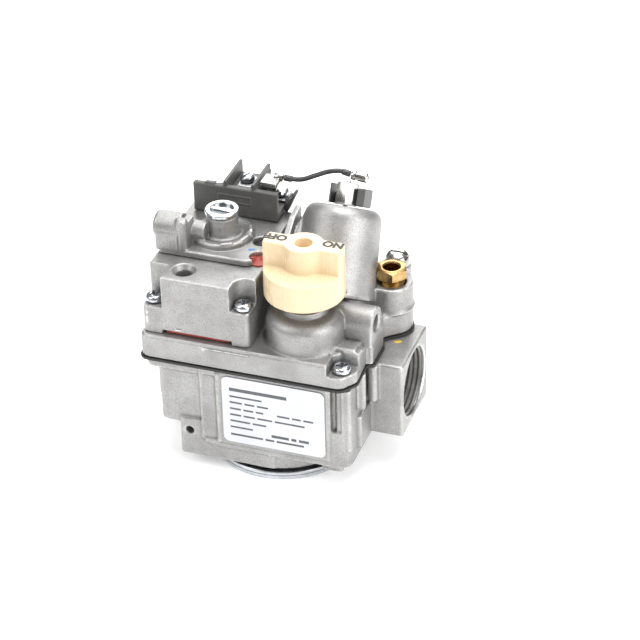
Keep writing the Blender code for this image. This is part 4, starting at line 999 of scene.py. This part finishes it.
def makeMagnetNut():
    across, low, high = magnet["across"], magnet["nutLow"], magnet["nutHigh"]
    radius, flat = across / math.sqrt(3) + 0.1, across / 2
    lathe = [(flat + 0.1, low - 0.1), (radius, low + 0.5), (radius, high - 0.5), (flat - 0.1, high + 0.01)]
    piece = hexNut("magnetNut", across, low, high, 0, lathe)
    boolean(piece, turned("bore", [(1.45, low - 1), (1.45, high - 0.6), (2.1, high + 0.4)], sides=48))
    place(piece, leanBack @ turnAbout("Z", magnet["turn"]))
    keep(piece, "body", ["magnet_nut"], "nickel_plate", smooth=30)
    stud, top = magnet["stud"], magnet["studTop"]
    profile = [(stud - 0.2, -0.4)] + ridges(stud, 0.2, magnet["pitch"], -0.4, top - 0.9) + [(stud * 0.7, top)]
    keep(turned("magnetStud", profile, leanBack, 32), "body", ["lead_stud"], "spring_steel")


def makeInsulator():
    piece = copyNode("lead_insulator", "leadInsulator")
    boolean(piece, place(slab("trimRight", (8.0, -9, -1), (14, 12, 12)), leanBack))
    boolean(piece, place(slab("trimLeft", (-9, -9, -1), (-6.6, 12, 12)), leanBack))
    castSkin(piece, [], {"voxel": 0.16, "soften": 2, "most": 40000})
    keep(piece, "body", ["lead_insulator"], "dark_grey_plastic", smooth=50)


def makeLead():
    start = Vector(lead["start"])
    barrel = magnetTop + leanBack.to_3x3() @ Vector(lead["above"])
    route = [start] + [start + Vector(step) for step in lead["route"]]
    route += [barrel + Vector(step) for step in lead["arrival"]]
    curve = bpy.data.curves.new("jumperLead", "CURVE")
    curve.dimensions, curve.bevel_depth, curve.bevel_resolution = "3D", lead["radius"] * mm, 6
    curve.use_fill_caps, curve.resolution_u = True, 12
    spline = curve.splines.new("BEZIER")
    spline.bezier_points.add(len(route) - 1)
    for target, point in zip(spline.bezier_points, route):
        target.co = point * mm
        target.handle_left_type = target.handle_right_type = "AUTO"
    wire = bpy.data.objects.new("jumperLead", curve)
    bpy.context.scene.collection.objects.link(wire)
    pick(wire)
    bpy.ops.object.convert(target="MESH")
    wire = bpy.context.active_object
    outward(wire)
    sleeves = []
    for name, at, towards in (("sleeveNear", route[0], route[1]), ("sleeveFar", route[-1], route[-2])):
        turn = (towards - at).to_track_quat("Z", "Y").to_matrix().to_4x4()
        wide, long = lead["sleeve"], lead["sleeveLength"]
        profile = [(wide - 0.15, 0.1), (wide, 0.3), (wide, long - 0.3), (lead["radius"] - 0.05, long)]
        sleeves.append(turned(name, profile, shift(at) @ turn, 32))
    pick(wire, *sleeves)
    bpy.ops.object.join()
    keep(wire, "body", ["jumper_wire"], "lead_insulation", smooth=50)
    wide, long = lead["crimp"], lead["crimpLength"]
    profile = [(wide - 0.5, 0.0), (wide - 0.15, 0.15), (wide, 0.5), (wide, 1.6), (wide - 0.35, 1.9)]
    profile += [(wide - 0.35, 2.5), (wide, 2.8), (wide, long - 0.6), (wide - 0.4, long - 0.1)]
    profile += [(wide - 0.9, long), (wide - 1.1, long - 0.8)]
    crimp = turned("leadConnector", profile, shift(barrel) @ turnAbout("Y", lead["crimpTurn"]), 48)
    keep(crimp, "body", ["lead_connector"], "nickel_plate")


# Pressed bottom cover

pan = {"edge": 0.6, "bead": 0.8, "beadOut": 2.8, "beadIn": 8.6, "groove": 0.22, "inside": 1.95, "sides": 160}


def makeCoverPan():
    radius, high = coverHigh.x, coverHigh.z
    bead, out, inner = pan["bead"], radius - pan["beadOut"], radius - pan["beadIn"]
    profile = [(0.5, 0.0), (inner - 0.9, 0.0), (inner - 0.3, bead * 0.25), (inner + 0.3, bead * 0.8)]
    profile += [(inner + 0.9, bead), (out - 0.9, bead), (out - 0.3, bead * 0.8)]
    profile += [(out + 0.2, bead * 0.25), (out + 0.7, 0.0)]
    profile += arcPoints((radius - pan["edge"], pan["edge"]), pan["edge"], -90, 0, 6)
    groove = radius - pan["groove"]
    profile += [(radius, high * 0.52), (groove, high * 0.55), (groove, high * 0.62), (radius, high * 0.66)]
    profile += arcPoints((radius - 0.4, high - 0.4), 0.4, 0, 90, 4)
    profile += [(radius - 7.0, high), (radius - 8.0, pan["inside"]), (0.5, pan["inside"])]
    piece = turned("coverPan", profile, sides=pan["sides"])
    keep(piece, "body", ["bottom_cover"], "zinc_plate", smooth=28)


# Label, left blank but for plain rules where printing would be

label = {
    "corner": 2.4, "rise": 0.03, "gap": 1.0,
    "rows": (  # the left end, the height, the bars' thickness and the length of each bar
        (3.0, 23.4, 1.5, (23.0,)), (3.0, 20.6, 0.8, (13.0,)), (3.0, 17.9, 0.8, (5.0, 4.0, 4.5)),
        (3.0, 15.1, 0.8, (4.5, 4.0, 3.0)), (22.0, 15.1, 0.8, (5.0, 3.5, 4.0)),
        (3.0, 12.3, 0.8, (4.5, 4.5, 6.0, 12.0)), (3.0, 9.5, 0.8, (8.0, 5.5)),
        (3.0, 6.7, 0.8, (9.0,)), (19.5, 5.2, 1.2, (7.0, 2.0, 4.0)), (3.0, 3.2, 0.9, (13.0, 3.5, 11.0)),
    ),
}


def makeLabel():
    low, high = nodeBox("label")
    piece = slab("labelPlate", (low.x, low.z, 0), (high.x, high.z, high.y - low.y), label["corner"], 0.08, 6)
    piece.data.materials.append(materials["label_paper"])
    rules = []
    top = high.y - low.y + label["rise"]
    for x, y, tall, lengths in label["rows"]:
        for wide in lengths:
            left, foot = low.x + x, low.z + y
            rule = slab(f"rule{len(rules)}", (left, foot, top - 0.05), (left + wide, foot + tall, top))
            rule.data.materials.append(materials["rule_grey"])
            rules.append(rule)
            x += wide + label["gap"]
    pick(piece, *rules)
    bpy.ops.object.join()
    place(piece, shift((0, high.y, 0)) @ turnAbout("X", 90))
    keep(piece, "body", ["label"], "label_paper")


# Springs, copied from the frame

springs = {
    "knob_spring": ("cockSpring", "cock", "knob_press", (0, 0, 1), 0, 3.5),
    "main_valve_spring": ("seatSpring", "body", "main_valve_lift", (0, 0, 1), 1, 3.0),
}


def makeSprings():
    for node, (name, body, joint, axis, fixedEnd, travel) in springs.items():
        piece = copyNode(node, name)
        keep(piece, body, [node], "spring_steel", smooth=60)
        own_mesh(piece)


# Dabs of assembly paint

dabs = {
    "yellowDab": ("yellow_paint", (42.9, 10.5, 46.5), (1.5, 0.8)),
    "redDab": ("red_silicone", (-8.1, -7.1, 85.3), (0.9, 0.5)),
    "blueDab": ("blue_paint", (-10.6, -2.0, 85.3), (1.3, 0.7)),
}


def makeDabs():
    for name, (finish, at, (wide, deep)) in dabs.items():
        settle()
        bpy.ops.mesh.primitive_uv_sphere_add(segments=32, ring_count=16, radius=mm, location=(0, 0, 0))
        bpy.context.active_object.scale = (wide, deep, 0.16)
        piece = named(name)
        ripple = bpy.data.textures.new(name + "Ripple", "CLOUDS")
        ripple.noise_scale = 0.9 * mm
        wobble = piece.modifiers.new("Uneven", "DISPLACE")
        wobble.texture, wobble.strength, wobble.mid_level = ripple, 0.35 * mm, 0.5
        applyAll(piece)
        place(piece, shift(at) @ turnAbout("Z", 25))
        keep(piece, "body", [], slotOf["operator_gasket"], finish, 80)


for stage, makers in (
    ("castings", (makeLowerCasting, makeUpperCasting, makeOperatorCasting, makeRegulatorCasting, makeWax)),
    ("screws, cap and pilot parts", (makeRegulatorCap, makeScrews, makePilotFitting, makePilotAdjuster)),
    ("knob", (makeKnob,)),
    ("terminals and lead", (makeTerminalBlock, makeTerminalMetal, makeMagnetNut, makeInsulator, makeLead)),
    ("cover, label, springs and paint", (makeCoverPan, makeLabel, makeSprings, makeDabs)),
):
    for maker in makers:
        maker()
    print(stage, "made")
